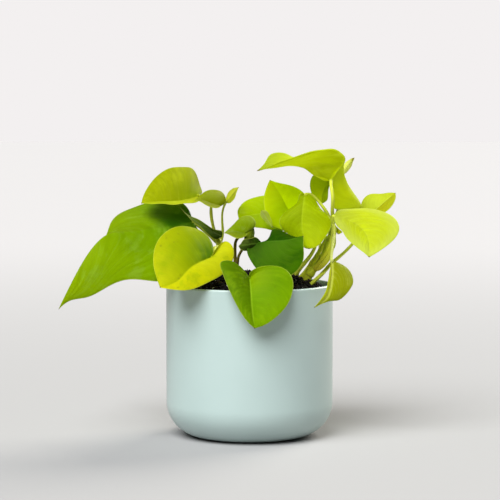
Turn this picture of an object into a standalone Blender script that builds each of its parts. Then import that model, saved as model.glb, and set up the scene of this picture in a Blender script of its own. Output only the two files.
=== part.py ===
"""A potted pothos: a plain cylindrical pot, its soil, and a bushy plant of heart-shaped leaves.

Lengths are in millimetres in the tables and are scaled to metres when a mesh is made.
The pot's axis is Z, its foot stands on Z = 0, and -Y is the plant's front.
"""

import math

import bmesh
import bpy
import numpy as np

MM = 0.001
GAP = 0.3
MERGE = 0.00001

POT = {
    "radius": 70.0,
    "height": 128.0,
    "wall": 3.2,
    "lip": 1.0,
    "base_round": 29.0,
    "floor": 6.0,
    "inner_round": 24.0,
    "sides": 64,
    "base_points": 11,
    "bend_points": 8,
    "lip_points": 4,
}

SOIL = {
    "edge_height": 121.0,
    "crown_height": 136.0,
    "rings": 7,
}

BLADE = 0.6
BLADE_ROWS = 13
BLADE_COLUMNS = 4
VEIN_EASE = 1.1
RIB_STEP = 0.02
TURN_BLEND = 0.12
TUBE_SIDES = 8
TUBE_STEP = 9.0
TUBE_SIDEWAYS = (0.31, 0.92, 0.23)
SHARP_ANGLE = 40

# Every leaf is a midrib from its joint to its tip and two margins beside it. "left" is to the
# left when the upper face is seen with the tip pointing away. "lobe" is the share of a margin
# whose veins all leave the joint, and "crown" how far a half arches above its chord.
#
# A stem's path starts in the soil or on the axis of the stem that carries it, and ends at its
# leaf's joint. "trim" is how far the solid stops short of those two ends, so that it lies a
# gap away from the carrier and the blade.

LEAVES = {
    "leaf_big_left": {
        "rib": [(-48, -4, 180), (-65, -12, 177), (-83, -20, 175), (-100, -28, 173), (-115, -36, 172),
                (-124, -43, 166), (-134, -48, 153), (-144, -52, 135), (-156, -50, 111)],
        "left": [(-40, -14, 167), (-46, -30, 148), (-61, -40, 135), (-81, -46, 134), (-102, -50, 135),
                 (-115, -52, 130), (-133, -51, 121), (-147, -51, 118)],
        "right": [(-52, 6, 191), (-66, 16, 198), (-84, 18, 196), (-97, 12, 192), (-108, 0, 187),
                  (-115, -14, 180), (-118, -26, 172), (-123, -34, 162), (-131, -41, 150),
                  (-139, -46, 136), (-148, -49, 122)],
        "lobe": 0.25, "crown": 0.06,
    },
    "leaf_upper_left": {
        "rib": [(-44, 0, 201), (-54, -3, 198), (-65, -7, 197), (-77, -11, 197), (-90, -14, 196)],
        "left": [(-42, -14, 198), (-53, -24, 196), (-65, -29, 196), (-79, -24, 196)],
        "right": [(-40, 14, 204), (-43, 26, 211), (-49, 30, 224), (-57, 26, 225), (-67, 20, 224),
                  (-77, 12, 219), (-85, 2, 209), (-89, -8, 201)],
        "lobe": 0.2, "crown": 0.05,
    },
    "leaf_small_left": {
        "rib": [(-31, -20, 195), (-36, -22, 198), (-45, -28, 199)],
        "left": [(-24, -28, 194), (-28, -33, 193), (-35, -34, 195), (-40, -32, 198)],
        "right": [(-23, -12, 194), (-20, -6, 199), (-23, -4, 205), (-29, -6, 207), (-36, -12, 206),
                  (-42, -20, 202)],
        "lobe": 0.25, "crown": 0.06,
    },
    "leaf_tiny_upper": {
        "rib": [(-20, 0, 196), (-16, -2, 201), (-9, -4, 209)],
        "left": [(-20, 6, 199), (-17, 8, 205), (-13, 2, 208)],
        "right": [(-16, -6, 196), (-13, -8, 199), (-11, -8, 204)],
        "lobe": 0.15, "crown": 0.05,
    },
    "leaf_yellow_front": {
        "rib": [(-31, -44, 153), (-40, -54, 150), (-50, -64, 144), (-58, -71, 136), (-72, -74, 131)],
        "left": [(-29, -45, 158), (-25, -43, 163), (-19, -40, 166), (-14, -42, 162), (-13, -44, 155),
                 (-16, -48, 146), (-22, -55, 140), (-32, -63, 135), (-42, -71, 131), (-53, -77, 129),
                 (-64, -78, 130)],
        "right": [(-30, -36, 161), (-35, -30, 170), (-44, -28, 176), (-55, -32, 178), (-68, -40, 174),
                  (-76, -50, 165), (-78, -58, 154), (-77, -66, 145), (-74, -71, 136)],
        "lobe": 0.2, "crown": 0.05,
    },
    "leaf_heart_front": {
        "rib": [(0, -66, 138), (1, -75, 129), (2, -81, 115), (4, -84, 99)],
        "left": [(0, -68, 142), (5, -67, 146), (14, -66, 148), (27, -65, 146), (34, -68, 139),
                 (35, -74, 130), (31, -80, 119), (21, -85, 108), (12, -86, 102)],
        "right": [(-4, -66, 141), (-9, -63, 148), (-16, -62, 152), (-23, -64, 151), (-22, -70, 143),
                  (-17, -77, 131), (-10, -82, 117), (-2, -85, 105)],
        "lobe": 0.22, "crown": 0.06,
    },
    "leaf_dark_middle": {
        "rib": [(0, -36, 164), (15, -40, 166), (29, -43, 167), (44, -47, 171)],
        "left": [(2, -31, 158), (7, -27, 152), (14, -23, 152), (18, -22, 158), (18, -22, 167),
                 (19, -21, 174), (25, -23, 174), (33, -28, 171), (40, -38, 169)],
        "right": [(-2, -40, 159), (2, -46, 149), (10, -50, 140), (25, -52, 136), (38, -52, 142),
                  (44, -52, 153), (44, -50, 163)],
        "lobe": 0.2, "crown": 0.05,
    },
    "leaf_small_middle": {
        "rib": [(-5, -22, 171), (-11, -24, 173), (-21, -26, 172)],
        "left": [(-2, -30, 171), (-5, -34, 169), (-9, -35, 168), (-15, -32, 170)],
        "right": [(1, -16, 173), (5, -12, 180), (1, -10, 185), (-7, -12, 184), (-14, -18, 178)],
        "lobe": 0.25, "crown": 0.06,
    },
    "leaf_back_middle": {
        "rib": [(28, 18, 184), (16, 15, 186), (3, 10, 185), (-9, 3, 182)],
        "left": [(34, 12, 179), (29, 6, 172), (17, 3, 173), (6, 0, 175), (-3, -1, 178)],
        "right": [(33, 28, 192), (23, 32, 200), (11, 30, 200), (0, 24, 198), (-8, 14, 192),
                  (-10, 6, 187)],
        "lobe": 0.22, "crown": 0.05,
    },
    "leaf_upright_middle": {
        "rib": [(39, 3, 179), (32, 2, 191), (25, 0, 204), (17, -2, 215)],
        "left": [(36, -1, 173), (26, -5, 174), (16, -7, 180), (13, -6, 189), (12, -4, 200),
                 (14, -3, 208)],
        "right": [(46, 6, 181), (50, 8, 191), (45, 8, 204), (35, 5, 210), (26, 2, 212)],
        "lobe": 0.2, "crown": 0.015,
    },
    "leaf_broad_middle": {
        "rib": [(46, -8, 203), (44, -16, 190), (44, -22, 174), (49, -30, 159)],
        "left": [(50, -7, 203), (57, -9, 195), (63, -14, 188), (68, -18, 180), (65, -24, 172),
                 (59, -29, 164), (53, -31, 160)],
        "right": [(43, -8, 204), (40, -9, 197), (30, -12, 189), (25, -15, 180), (29, -16, 173),
                  (37, -18, 167), (42, -22, 163), (45, -26, 160)],
        "lobe": 0.12, "crown": 0.05,
    },
    "leaf_arched_top": {
        "rib": [(68, -6, 215), (71, -8, 220), (75, -8, 225), (78, -9, 229), (79, -10, 233),
                (76, -11, 237), (71, -12, 240), (63, -13, 240), (54, -14, 239), (43, -16, 236),
                (34, -17, 233), (22, -19, 229), (13, -20, 225), (6, -20, 223)],
        "left": [(69, -3, 205), (71, 3, 191), (83, 8, 190), (95, 12, 192), (93, 14, 197), (84, 13, 209),
                 (79, 12, 218), (76, 11, 224), (71, 11, 230), (63, 11, 232), (53, 9, 233), (44, 3, 233),
                 (37, -5, 234), (31, -8, 237), (24, -9, 238), (17, -11, 236), (13, -15, 230)],
        "right": [(64, -10, 214), (59, -15, 216), (52, -19, 220), (46, -22, 225), (37, -23, 227),
                  (25, -22, 226), (15, -21, 225)],
        "lobe": 0.28, "crown": 0.03,
    },
    "leaf_arched_lobe": {
        "rib": [(67, -5, 213), (64, 0, 209), (61, 1, 202), (61, 2, 195)],
        "left": [(67, -1, 211), (66, -1, 205), (65, 0, 198)],
        "right": [(60, 2, 220), (54, 4, 219), (51, 5, 212), (52, 5, 204), (55, 4, 198)],
        "lobe": 0.2, "crown": 0.05,
    },
    "leaf_small_right": {
        "rib": [(100, 28, 184), (109, 27, 190), (116, 26, 196), (124, 24, 203)],
        "left": [(96, 34, 185), (96, 38, 194), (103, 38, 201), (112, 34, 202), (120, 28, 203)],
        "right": [(106, 20, 183), (114, 18, 186), (121, 18, 193), (124, 20, 199)],
        "lobe": 0.2, "crown": 0.06,
    },
    "leaf_bright_right": {
        "rib": [(70, -16, 186), (83, -20, 182), (95, -27, 173), (98, -42, 153)],
        "left": [(74, -11, 190), (84, -7, 191), (97, -5, 191), (112, -7, 189), (121, -13, 183),
                 (124, -21, 175), (117, -31, 165), (107, -38, 158)],
        "right": [(71, -20, 180), (76, -28, 174), (83, -35, 165), (91, -40, 159)],
        "lobe": 0.15, "crown": 0.012,
    },
    "leaf_low_right": {
        "rib": [(67, -50, 150), (67, -54, 142), (66, -59, 133), (63, -64, 123), (52, -68, 114)],
        "left": [(72, -46, 149), (81, -44, 143), (85, -48, 134), (81, -54, 127), (74, -58, 120),
                 (71, -60, 119), (66, -62, 119), (61, -65, 118)],
        "right": [(66, -52, 145), (64, -58, 137), (62, -63, 128), (57, -67, 120)],
        "lobe": 0.12, "crown": 0.06,
    },
    "leaf_new_rolled": {
        "rib": [(79, 21, 219), (83, 20, 226), (89, 20, 233)],
        "left": [(78, 24, 222), (81, 24, 228), (86, 23, 232)],
        "right": [(82, 24, 220), (86, 24, 225), (88, 23, 230)],
        "lobe": 0.1, "crown": 0.02,
    },
    "leaf_sheath_left": {
        "rib": [(-23, -9, 168), (-36, -14, 176), (-47, -16, 183), (-59, -17, 194)],
        "left": [(-28, -12, 166), (-34, -17, 170), (-42, -18, 177), (-49, -19, 183)],
        "right": [(-23, -7, 172), (-29, -11, 174), (-38, -13, 180), (-48, -15, 185)],
        "lobe": 0.1, "crown": 0.0,
    },
    "leaf_back_left": {
        "rib": [(-55, 36, 155), (-76, 50, 163), (-94, 62, 160), (-112, 70, 149)],
        "left": [(-52, 26, 148), (-68, 24, 144), (-88, 38, 142), (-103, 56, 144)],
        "right": [(-55, 46, 164), (-69, 62, 175), (-88, 76, 175), (-104, 78, 163)],
        "lobe": 0.2, "crown": 0.08,
    },
    "leaf_back_right": {
        "rib": [(45, 46, 180), (48, 64, 185), (52, 82, 178), (55, 96, 163)],
        "left": [(40, 40, 184), (31, 52, 183), (31, 72, 175), (43, 90, 164)],
        "right": [(52, 40, 185), (64, 52, 180), (68, 70, 171), (62, 88, 162)],
        "lobe": 0.2, "crown": 0.08,
    },
    "leaf_back_low": {
        "rib": [(23, 30, 150), (23, 50, 152), (22, 74, 140), (22, 92, 105)],
        "left": [(17, 25, 151), (10, 34, 148), (9, 58, 141), (13, 84, 122)],
        "right": [(28, 25, 151), (36, 34, 148), (37, 58, 141), (31, 84, 120)],
        "lobe": 0.2, "crown": 0.08,
    },
}

STEMS = {
    "vine_left": {
        "path": [(-16, -8, 121), (-18, -8, 135), (-21, -6, 148), (-25, -3, 158), (-26, -1, 165)],
        "radii": (2.6, 2.2),
        "trim": (0.0, 0.0),
    },
    "vine_right": {
        "path": [(40, -6, 114), (45, -6, 126), (51, -6, 136), (57, -6, 144), (62, -6, 151),
                 (65, -6, 160), (68, -5, 168), (69, -5, 177)],
        "radii": (3.2, 2.4),
        "trim": (0.0, 0.0),
    },
    "vine_side": {
        "path": [(36, 2, 118), (42, 2, 130), (48, 2, 138), (55, 1, 148), (59, 1, 155), (63, 0, 162),
                 (66, 0, 167)],
        "radii": (2.7, 1.8),
        "trim": (0.0, 0.0),
    },
    "petiole_big_left": {
        "path": [(-26, -2, 162), (-34, -1, 169), (-41, -2, 175), (-48, -4, 180)],
        "radii": (1.5, 1.2),
        "trim": (3.8, 1.6),
    },
    "petiole_upper_left": {
        "path": [(-26, -1, 165), (-30, 6, 173), (-32, 7, 184), (-33, 6, 194), (-38, 2, 200),
                 (-44, 0, 202)],
        "radii": (1.0, 0.9),
        "trim": (1.0, 1.3),
    },
    "petiole_small_left": {
        "path": [(-25, -3, 158), (-28, -7, 167), (-30, -9, 174), (-32, -14, 185), (-32, -17, 192),
                 (-31, -20, 195)],
        "radii": (1.2, 1.0),
        "trim": (5.1, 1.1),
    },
    "petiole_tiny_upper": {
        "path": [(-26, -2, 160), (-23, 3, 168), (-23, 1, 181), (-22, 1, 191), (-20, 0, 196)],
        "radii": (1.1, 0.8),
        "trim": (5.8, 0.4),
    },
    "petiole_yellow_front": {
        "path": [(-23, -4, 155), (-27, -12, 159), (-29, -22, 158), (-30, -34, 154), (-31, -44, 153)],
        "radii": (1.4, 1.2),
        "trim": (3.2, 2.2),
    },
    "petiole_heart_front": {
        "path": [(2, -34, 117), (1, -40, 129), (0, -50, 136), (0, -66, 138)],
        "radii": (1.4, 1.2),
        "trim": (0.0, 0.6),
    },
    "petiole_dark_middle": {
        "path": [(-7, -14, 122), (-10, -15, 136), (-10, -16, 145), (-9, -19, 152), (-6, -24, 158),
                 (-3, -31, 162), (0, -36, 164)],
        "radii": (1.3, 1.0),
        "trim": (0.0, 1.6),
    },
    "petiole_small_middle": {
        "path": [(-10, -6, 123), (-11, -8, 140), (-12, -10, 152), (-12, -14, 160), (-10, -20, 167),
                 (-5, -22, 171)],
        "radii": (1.6, 1.1),
        "trim": (0.0, 0.9),
    },
    "petiole_back_middle": {
        "path": [(16, 2, 117), (17, 5, 129), (22, 10, 142), (26, 15, 155), (29, 19, 166), (31, 21, 175),
                 (28, 18, 184)],
        "radii": (1.5, 1.2),
        "trim": (0.0, 1.2),
    },
    "petiole_upright_middle": {
        "path": [(35, 12, 120), (39, 12, 133), (47, 13, 144), (54, 14, 154), (56, 14, 163),
                 (49, 11, 172), (39, 2, 179)],
        "radii": (1.5, 1.2),
        "trim": (0.0, 2.7),
    },
    "petiole_broad_middle": {
        "path": [(68, -4, 173), (67, -1, 181), (63, -4, 190), (57, -4, 198), (51, -5, 203),
                 (46, -8, 203)],
        "radii": (1.3, 1.1),
        "trim": (4.7, 3.8),
    },
    "petiole_arched_top": {
        "path": [(67, -4, 173), (69, -6, 182), (69, -13, 193), (69, -16, 202), (68, -13, 209),
                 (68, -6, 215)],
        "radii": (1.6, 1.3),
        "trim": (5.1, 1.9),
    },
    "petiole_small_right": {
        "path": [(44, -17, 120), (48, -17, 125), (53, -16, 130), (60, -12, 136), (67, -5, 143),
                 (77, 5, 151), (87, 14, 160), (95, 23, 171), (100, 28, 184)],
        "radii": (1.5, 1.1),
        "trim": (0.0, 0.7),
    },
    "petiole_bright_right": {
        "path": [(68, -5, 171), (70, -11, 177), (70, -14, 182), (70, -16, 186)],
        "radii": (1.3, 1.1),
        "trim": (4.7, 1.4),
    },
    "petiole_low_right": {
        "path": [(68, -5, 170), (70, -14, 170), (69, -26, 165), (68, -37, 159), (67, -45, 154),
                 (67, -50, 150)],
        "radii": (1.3, 1.1),
        "trim": (2.7, 0.9),
    },
    "petiole_new_rolled": {
        "path": [(68, -4, 172), (71, 9, 179), (75, 18, 190), (78, 23, 207), (79, 20, 219)],
        "radii": (1.1, 0.9),
        "trim": (2.4, 0.7),
    },
    "petiole_back_left": {
        "path": [(-18, 12, 120), (-23, 14, 136), (-35, 22, 148), (-47, 30, 154), (-55, 36, 155)],
        "radii": (1.5, 1.2),
        "trim": (0.0, 2.8),
    },
    "petiole_back_right": {
        "path": [(44, 24, 118), (47, 28, 132), (54, 32, 143), (60, 36, 153), (59, 42, 164),
                 (51, 45, 174), (45, 46, 180)],
        "radii": (1.5, 1.2),
        "trim": (0.0, 0.7),
    },
    "petiole_back_low": {
        "path": [(14, 14, 119), (17, 17, 133), (20, 22, 143), (23, 30, 150)],
        "radii": (1.4, 1.2),
        "trim": (0.0, 1.6),
    },
}

FINISHES = {
    "pot": ((0.58, 0.66, 0.62), 0.35),
    "soil": ((0.018, 0.014, 0.011), 0.95),
    "stem": ((0.26, 0.32, 0.05), 0.5),
    "sheath": ((0.12, 0.14, 0.03), 0.6),
    "leaf": ((0.26, 0.42, 0.02), 0.4),
    "lime_leaf": ((0.45, 0.52, 0.02), 0.4),
    "dark_leaf": ((0.07, 0.2, 0.01), 0.4),
}

LEAF_FINISHES = {
    "leaf_upper_left": "lime_leaf",
    "leaf_yellow_front": "lime_leaf",
    "leaf_back_middle": "lime_leaf",
    "leaf_upright_middle": "lime_leaf",
    "leaf_broad_middle": "lime_leaf",
    "leaf_bright_right": "lime_leaf",
    "leaf_small_right": "lime_leaf",
    "leaf_dark_middle": "dark_leaf",
    "leaf_sheath_left": "sheath",
}

PLANTED = (
    "vine_left",
    "vine_right",
    "petiole_heart_front",
    "petiole_dark_middle",
    "petiole_small_middle",
    "petiole_back_middle",
    "petiole_upright_middle",
    "vine_side",
    "petiole_small_right",
    "petiole_back_left",
    "petiole_back_right",
    "petiole_back_low",
)


def clear_scene():
    for obj in list(bpy.data.objects):
        bpy.data.objects.remove(obj, do_unlink=True)


def finish(name):
    """The Principled material of that name, made once."""
    material = bpy.data.materials.get(name)
    if material is None:
        material = bpy.data.materials.new(name)
        material.use_nodes = True
        colour, roughness = FINISHES[name]
        shader = material.node_tree.nodes["Principled BSDF"]
        shader.inputs["Base Color"].default_value = (*colour, 1.0)
        shader.inputs["Roughness"].default_value = roughness
        shader.inputs["Metallic"].default_value = 0.0
    return material


def add_object(name, bm, material_name):
    """Turn the bmesh into a named, smooth-shaded object, its faces turned outwards."""
    bmesh.ops.recalc_face_normals(bm, faces=bm.faces[:])
    mesh = bpy.data.meshes.new(name)
    bm.to_mesh(mesh)
    bm.free()
    mesh.materials.append(finish(material_name))
    mesh.shade_smooth()
    mesh.set_sharp_from_angle(angle=math.radians(SHARP_ANGLE))
    obj = bpy.data.objects.new(name, mesh)
    bpy.context.scene.collection.objects.link(obj)
    return obj


def unit(vectors):
    return vectors / np.maximum(np.linalg.norm(vectors, axis=-1, keepdims=True), 1e-9)


def spline(points, at):
    """Natural cubic spline through the points, read at shares of its chord length."""
    points = np.asarray(points, float)
    count = len(points)
    spans = np.linalg.norm(np.diff(points, axis=0), axis=1)
    knots = np.concatenate([[0.0], np.cumsum(spans)]) / spans.sum()
    spans = np.diff(knots)
    matrix = np.eye(count)
    right_side = np.zeros_like(points)
    for i in range(1, count - 1):
        matrix[i, i - 1:i + 2] = spans[i - 1], 2 * (spans[i - 1] + spans[i]), spans[i]
        slopes = np.diff(points[i - 1:i + 2], axis=0) / spans[i - 1:i + 1, None]
        right_side[i] = 6 * (slopes[1] - slopes[0])
    bends = np.linalg.solve(matrix, right_side)
    at = np.clip(np.asarray(at, float), 0, 1)
    i = np.clip(np.searchsorted(knots, at, side="right") - 1, 0, count - 2)
    before = (knots[i + 1] - at)[:, None]
    after = (at - knots[i])[:, None]
    span = spans[i][:, None]
    cubic = (bends[i] * before**3 + bends[i + 1] * after**3) / (6 * span)
    start = (points[i] / span - bends[i] * span / 6) * before
    end = (points[i + 1] / span - bends[i + 1] * span / 6) * after
    return cubic + start + end


def half_blade(leaf, side):
    """Grid of one half of a leaf, rows from joint to tip and columns from midrib to margin.

    Row s joins the midrib at u(s), which stays at the joint for the lobe's share of the
    margin, to the margin at s. The half then arches over that chord by
    crown * chord * 4 t (1 - t), towards the upper face.
    """
    rib = leaf["rib"]
    rows = np.linspace(0, 1, BLADE_ROWS)
    across = np.linspace(0, 1, BLADE_COLUMNS)
    margin = spline([rib[0]] + leaf[side] + [rib[-1]], rows)
    along = np.clip((rows - leaf["lobe"]) / (1 - leaf["lobe"]), 0, 1) ** VEIN_EASE
    middle = spline(rib, along)
    after = spline(rib, np.minimum(along + RIB_STEP, 1))
    ahead = unit(after - spline(rib, np.maximum(along - RIB_STEP, 0)))
    chord = margin - middle
    turn = 1 if side == "left" else -1
    blend = np.exp(-((rows[:, None] - rows[None, :]) / TURN_BLEND) ** 2)
    up = unit(blend @ (np.cross(ahead, chord) * turn))
    flat = unit(chord)
    up = unit(up - np.sum(up * flat, axis=1, keepdims=True) * flat)
    arch = leaf["crown"] * 4 * across * (1 - across)
    lift = np.linalg.norm(chord, axis=1)[:, None] * arch
    return middle[:, None] + chord[:, None] * across[:, None] + up[:, None] * lift[..., None]


def add_grid(bm, grid, flip):
    """Quads over the grid, turned so that both halves face the same way."""
    corners = [[bm.verts.new(point) for point in row] for row in grid * MM]
    for row, below in zip(corners, corners[1:]):
        for k in range(len(row) - 1):
            face = (row[k], below[k], below[k + 1], row[k + 1])
            bm.faces.new(face[::-1] if flip else face)


def thicken(bm, thickness):
    """Give the open sheet a second side and a rim, half the thickness to each side."""
    bm.normal_update()
    rim = [edge for edge in bm.edges if edge.is_boundary]
    sheet = bm.faces[:]
    offset = {vert: vert.normal * thickness / 2 for vert in bm.verts}
    under = {vert: bm.verts.new(vert.co - offset[vert]) for vert in offset}
    for face in sheet:
        bm.faces.new([under[vert] for vert in reversed(face.verts)])
    for edge in rim:
        first, second = edge.verts
        bm.faces.new((first, second, under[second], under[first]))
    for vert in offset:
        vert.co += offset[vert]


def make_leaf(name, leaf):
    bm = bmesh.new()
    add_grid(bm, half_blade(leaf, "left"), False)
    add_grid(bm, half_blade(leaf, "right"), True)
    bmesh.ops.remove_doubles(bm, verts=bm.verts[:], dist=MERGE)
    thicken(bm, BLADE * MM)
    bmesh.ops.triangulate(bm, faces=bm.faces[:])
    return add_object(name, bm, LEAF_FINISHES.get(name, "leaf"))


def frames(path):
    """Two unit vectors across the path at each point, carried along without twisting."""
    tangents = unit(np.gradient(path, axis=0))
    side = unit(np.cross(tangents[0], TUBE_SIDEWAYS))
    sides = [side]
    for tangent in tangents[1:]:
        side = unit(side - np.dot(side, tangent) * tangent)
        sides.append(side)
    sides = np.array(sides)
    return sides, np.cross(tangents, sides)


def tube(stem, grow=0.0):
    """A tapering round tube along the stem's smooth path, trimmed and closed at both ends."""
    length = np.linalg.norm(np.diff(stem["path"], axis=0), axis=1).sum()
    count = max(4, round(length / TUBE_STEP) + 1)
    low, high = stem["trim"]
    path = spline(stem["path"], np.linspace(low / length, 1 - high / length, count))
    path[0] -= unit(path[1] - path[0]) * grow
    radii = np.linspace(*stem["radii"], count) + grow
    sides, ups = frames(path)
    turns = np.linspace(0, 2 * math.pi, TUBE_SIDES, endpoint=False)
    bm = bmesh.new()
    rings = []
    for centre, radius, side, up in zip(path, radii, sides, ups):
        ring = [centre + radius * (math.cos(a) * side + math.sin(a) * up) for a in turns]
        rings.append([bm.verts.new(point * MM) for point in ring])
    for ring, after in zip(rings, rings[1:]):
        for k in range(TUBE_SIDES):
            following = (k + 1) % TUBE_SIDES
            bm.faces.new((ring[k], ring[following], after[following], after[k]))
    bm.faces.new(rings[0][::-1])
    bm.faces.new(rings[-1])
    return bm


def arc(centre, radius, start, stop, count):
    """Points (r, z) on a circle between two angles in degrees."""
    angles = np.radians(np.linspace(start, stop, count))
    return [(centre[0] + radius * math.cos(a), centre[1] + radius * math.sin(a)) for a in angles]


def turned(profile, sides):
    """Spin an (r, z) profile, whose ends lie on the axis, into a closed body."""
    bm = bmesh.new()
    rings = []
    for radius, height in profile:
        if radius < 1e-6:
            rings.append([bm.verts.new((0, 0, height * MM))])
            continue
        turns = np.linspace(0, 2 * math.pi, sides, endpoint=False)
        places = [(radius * math.cos(a), radius * math.sin(a), height) for a in turns]
        rings.append([bm.verts.new(np.array(place) * MM) for place in places])
    for ring, after in zip(rings, rings[1:]):
        for k in range(sides):
            following = (k + 1) % sides
            face = [ring[k % len(ring)], ring[following % len(ring)]]
            face += [after[following % len(after)], after[k % len(after)]]
            bm.faces.new(list(dict.fromkeys(face)))
    return bm


def pot_profile():
    """From the middle of the underside, up the outside, over the lip and down the inside."""
    radius, height, bend = POT["radius"], POT["height"], POT["base_round"]
    lip, inner = POT["lip"], POT["radius"] - POT["wall"]
    outside = arc((radius - bend, bend), bend, -90, 0, POT["base_points"])
    over = arc((radius - lip, height - lip), lip, 0, 90, POT["lip_points"])
    over += arc((inner + lip, height - lip), lip, 90, 180, POT["lip_points"])
    bend_in, floor = POT["inner_round"], POT["floor"]
    inside = arc((inner - bend_in, floor + bend_in), bend_in, 0, -90, POT["bend_points"])
    return [(0, 0)] + outside + over + inside + [(0, floor)]


def soil_profile():
    """A plug that fills the pot, its top swelling as (r / edge) cubed falls away."""
    edge = POT["radius"] - POT["wall"] - GAP
    bend = POT["inner_round"] - GAP
    floor = POT["floor"] + GAP
    low, high = SOIL["edge_height"], SOIL["crown_height"]
    bottom = [(0, floor)] + arc((edge - bend, floor + bend), bend, -90, 0, POT["bend_points"])
    radii = np.linspace(edge, 0, SOIL["rings"] + 1)
    return bottom + [(r, low + (high - low) * (1 - (r / edge) ** 3)) for r in radii]


def make_soil():
    """The soil with a socket a gap wider than each stem that is planted in it."""
    soil = add_object("soil", turned(soil_profile(), POT["sides"]), "soil")
    for name in PLANTED:
        cutter = add_object(f"socket_{name}", tube(STEMS[name], GAP), "soil")
        cutter.hide_render = True
        cutter.display_type = "WIRE"
        cut = soil.modifiers.new(cutter.name, "BOOLEAN")
        cut.operation = "DIFFERENCE"
        cut.object = cutter
    return soil


def main():
    clear_scene()
    add_object("pot", turned(pot_profile(), POT["sides"]), "pot")
    make_soil()
    for name, stem in STEMS.items():
        add_object(name, tube(stem), "stem")
    for name, leaf in LEAVES.items():
        make_leaf(name, leaf)


main()
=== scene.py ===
import math

import bpy
import numpy as np
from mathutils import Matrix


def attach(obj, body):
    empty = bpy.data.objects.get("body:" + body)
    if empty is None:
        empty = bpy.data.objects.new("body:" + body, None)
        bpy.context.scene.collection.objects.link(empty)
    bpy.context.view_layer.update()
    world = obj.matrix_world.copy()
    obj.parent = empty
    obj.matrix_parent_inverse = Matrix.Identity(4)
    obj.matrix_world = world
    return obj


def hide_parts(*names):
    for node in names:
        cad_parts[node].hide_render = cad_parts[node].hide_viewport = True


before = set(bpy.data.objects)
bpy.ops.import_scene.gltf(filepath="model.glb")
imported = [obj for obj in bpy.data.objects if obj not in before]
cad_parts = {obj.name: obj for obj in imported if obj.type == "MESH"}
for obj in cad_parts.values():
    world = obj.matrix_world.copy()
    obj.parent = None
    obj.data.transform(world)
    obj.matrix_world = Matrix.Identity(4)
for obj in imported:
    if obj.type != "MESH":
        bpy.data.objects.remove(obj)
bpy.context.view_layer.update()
print("frame loaded:", len(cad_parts), "CAD nodes")

mm = 0.001  # the tables below are in millimetres, colours in 0-255 steps
gap = 0.3  # between the soil and the pot's wall


# helpers for shader nodes

class Wire:
    # one value or colour on its way between shader nodes
    def __init__(self, tree, socket):
        self.tree = tree
        self.socket = socket

    def sums(self, operation, *values):
        return addNode(self.tree, "ShaderNodeMath", {"operation": operation},
                       dict(enumerate(values)))

    def __add__(self, other):
        return self.sums("ADD", self, other)

    def __radd__(self, other):
        return self.sums("ADD", other, self)

    def __sub__(self, other):
        return self.sums("SUBTRACT", self, other)

    def __rsub__(self, other):
        return self.sums("SUBTRACT", other, self)

    def __mul__(self, other):
        return self.sums("MULTIPLY", self, other)

    def __rmul__(self, other):
        return self.sums("MULTIPLY", other, self)

    def __abs__(self):
        return self.sums("ABSOLUTE", self)

    def fraction(self):
        return self.sums("FRACT", self)


def feed(node, values):
    # a wire is linked to its socket, anything else is set on it
    for name, value in values.items():
        if isinstance(value, Wire):
            value.tree.links.new(value.socket, node.inputs[name])
        else:
            node.inputs[name].default_value = value


def addNode(tree, kind, settings=None, sockets=None, output=0):
    # settings first, because some of them change which sockets there are
    node = tree.nodes.new(kind)
    for setting, value in (settings or {}).items():
        if setting == "stops":
            stops = node.color_ramp.elements
            for order, (spot, colour) in enumerate(value):
                stop = stops[order] if order < len(stops) else stops.new(spot)
                stop.position = spot
                stop.color = colour
        else:
            setattr(node, setting, value)
    feed(node, sockets or {})
    return Wire(tree, node.outputs[output])


def paint(tint):
    # 0-255 display steps to the linear colour that a shader takes
    share = np.array(tint, float) / 255
    linear = np.where(share <= 0.04045, share / 12.92, ((share + 0.055) / 1.055) ** 2.4)
    return (*linear.tolist(), 1.0)


def newMaterial(name):
    material = bpy.data.materials.new(name)
    material.use_nodes = True
    tree = material.node_tree
    return material, tree, tree.nodes["Principled BSDF"]


def place(tree):
    return addNode(tree, "ShaderNodeTexCoord", output=3)


def attribute(tree, name):
    return addNode(tree, "ShaderNodeAttribute", {"attribute_name": name}, output=2)


def noise(tree, vector, scale, detail, rough=0.5):
    return addNode(tree, "ShaderNodeTexNoise", {},
                   {"Vector": vector, "Scale": scale, "Detail": detail, "Roughness": rough})


def cells(tree, vector, scale, feature="F1"):
    return addNode(tree, "ShaderNodeTexVoronoi", {"feature": feature},
                   {"Vector": vector, "Scale": scale})


def stretched(tree, vector, factors):
    return addNode(tree, "ShaderNodeVectorMath", {"operation": "MULTIPLY"}, {0: vector, 1: factors})


def distance(tree, vector):
    return addNode(tree, "ShaderNodeVectorMath", {"operation": "LENGTH"}, {0: vector}, 1)


def between(tree, value, low, high):
    # soft step: 0 where value is at low, 1 where it is at high
    return addNode(tree, "ShaderNodeMapRange", {"interpolation_type": "SMOOTHSTEP"},
                   {0: value, 1: low, 2: high})


def blend(tree, share, first, second, way="MIX"):
    return addNode(tree, "ShaderNodeMix", {"data_type": "RGBA", "blend_type": way},
                   {0: share, 6: first, 7: second}, 2)


def ramp(tree, value, spots, tints):
    stops = [(spot, paint(tint)) for spot, tint in zip(spots, tints)]
    return addNode(tree, "ShaderNodeValToRGB", {"stops": stops}, {"Fac": value})


def bump(tree, height, strength, reach):
    return addNode(tree, "ShaderNodeBump", {},
                   {"Height": height, "Strength": strength, "Distance": reach})


# helpers for shapes

def unit(vectors):
    # each vector divided by its length
    return vectors / np.maximum(np.linalg.norm(vectors, axis=-1, keepdims=True), 1e-9)


def bell(away, reach):
    # 1 where away is 0, falling off as exp(-(away / reach) squared)
    return np.exp(-(away / reach) ** 2)


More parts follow.
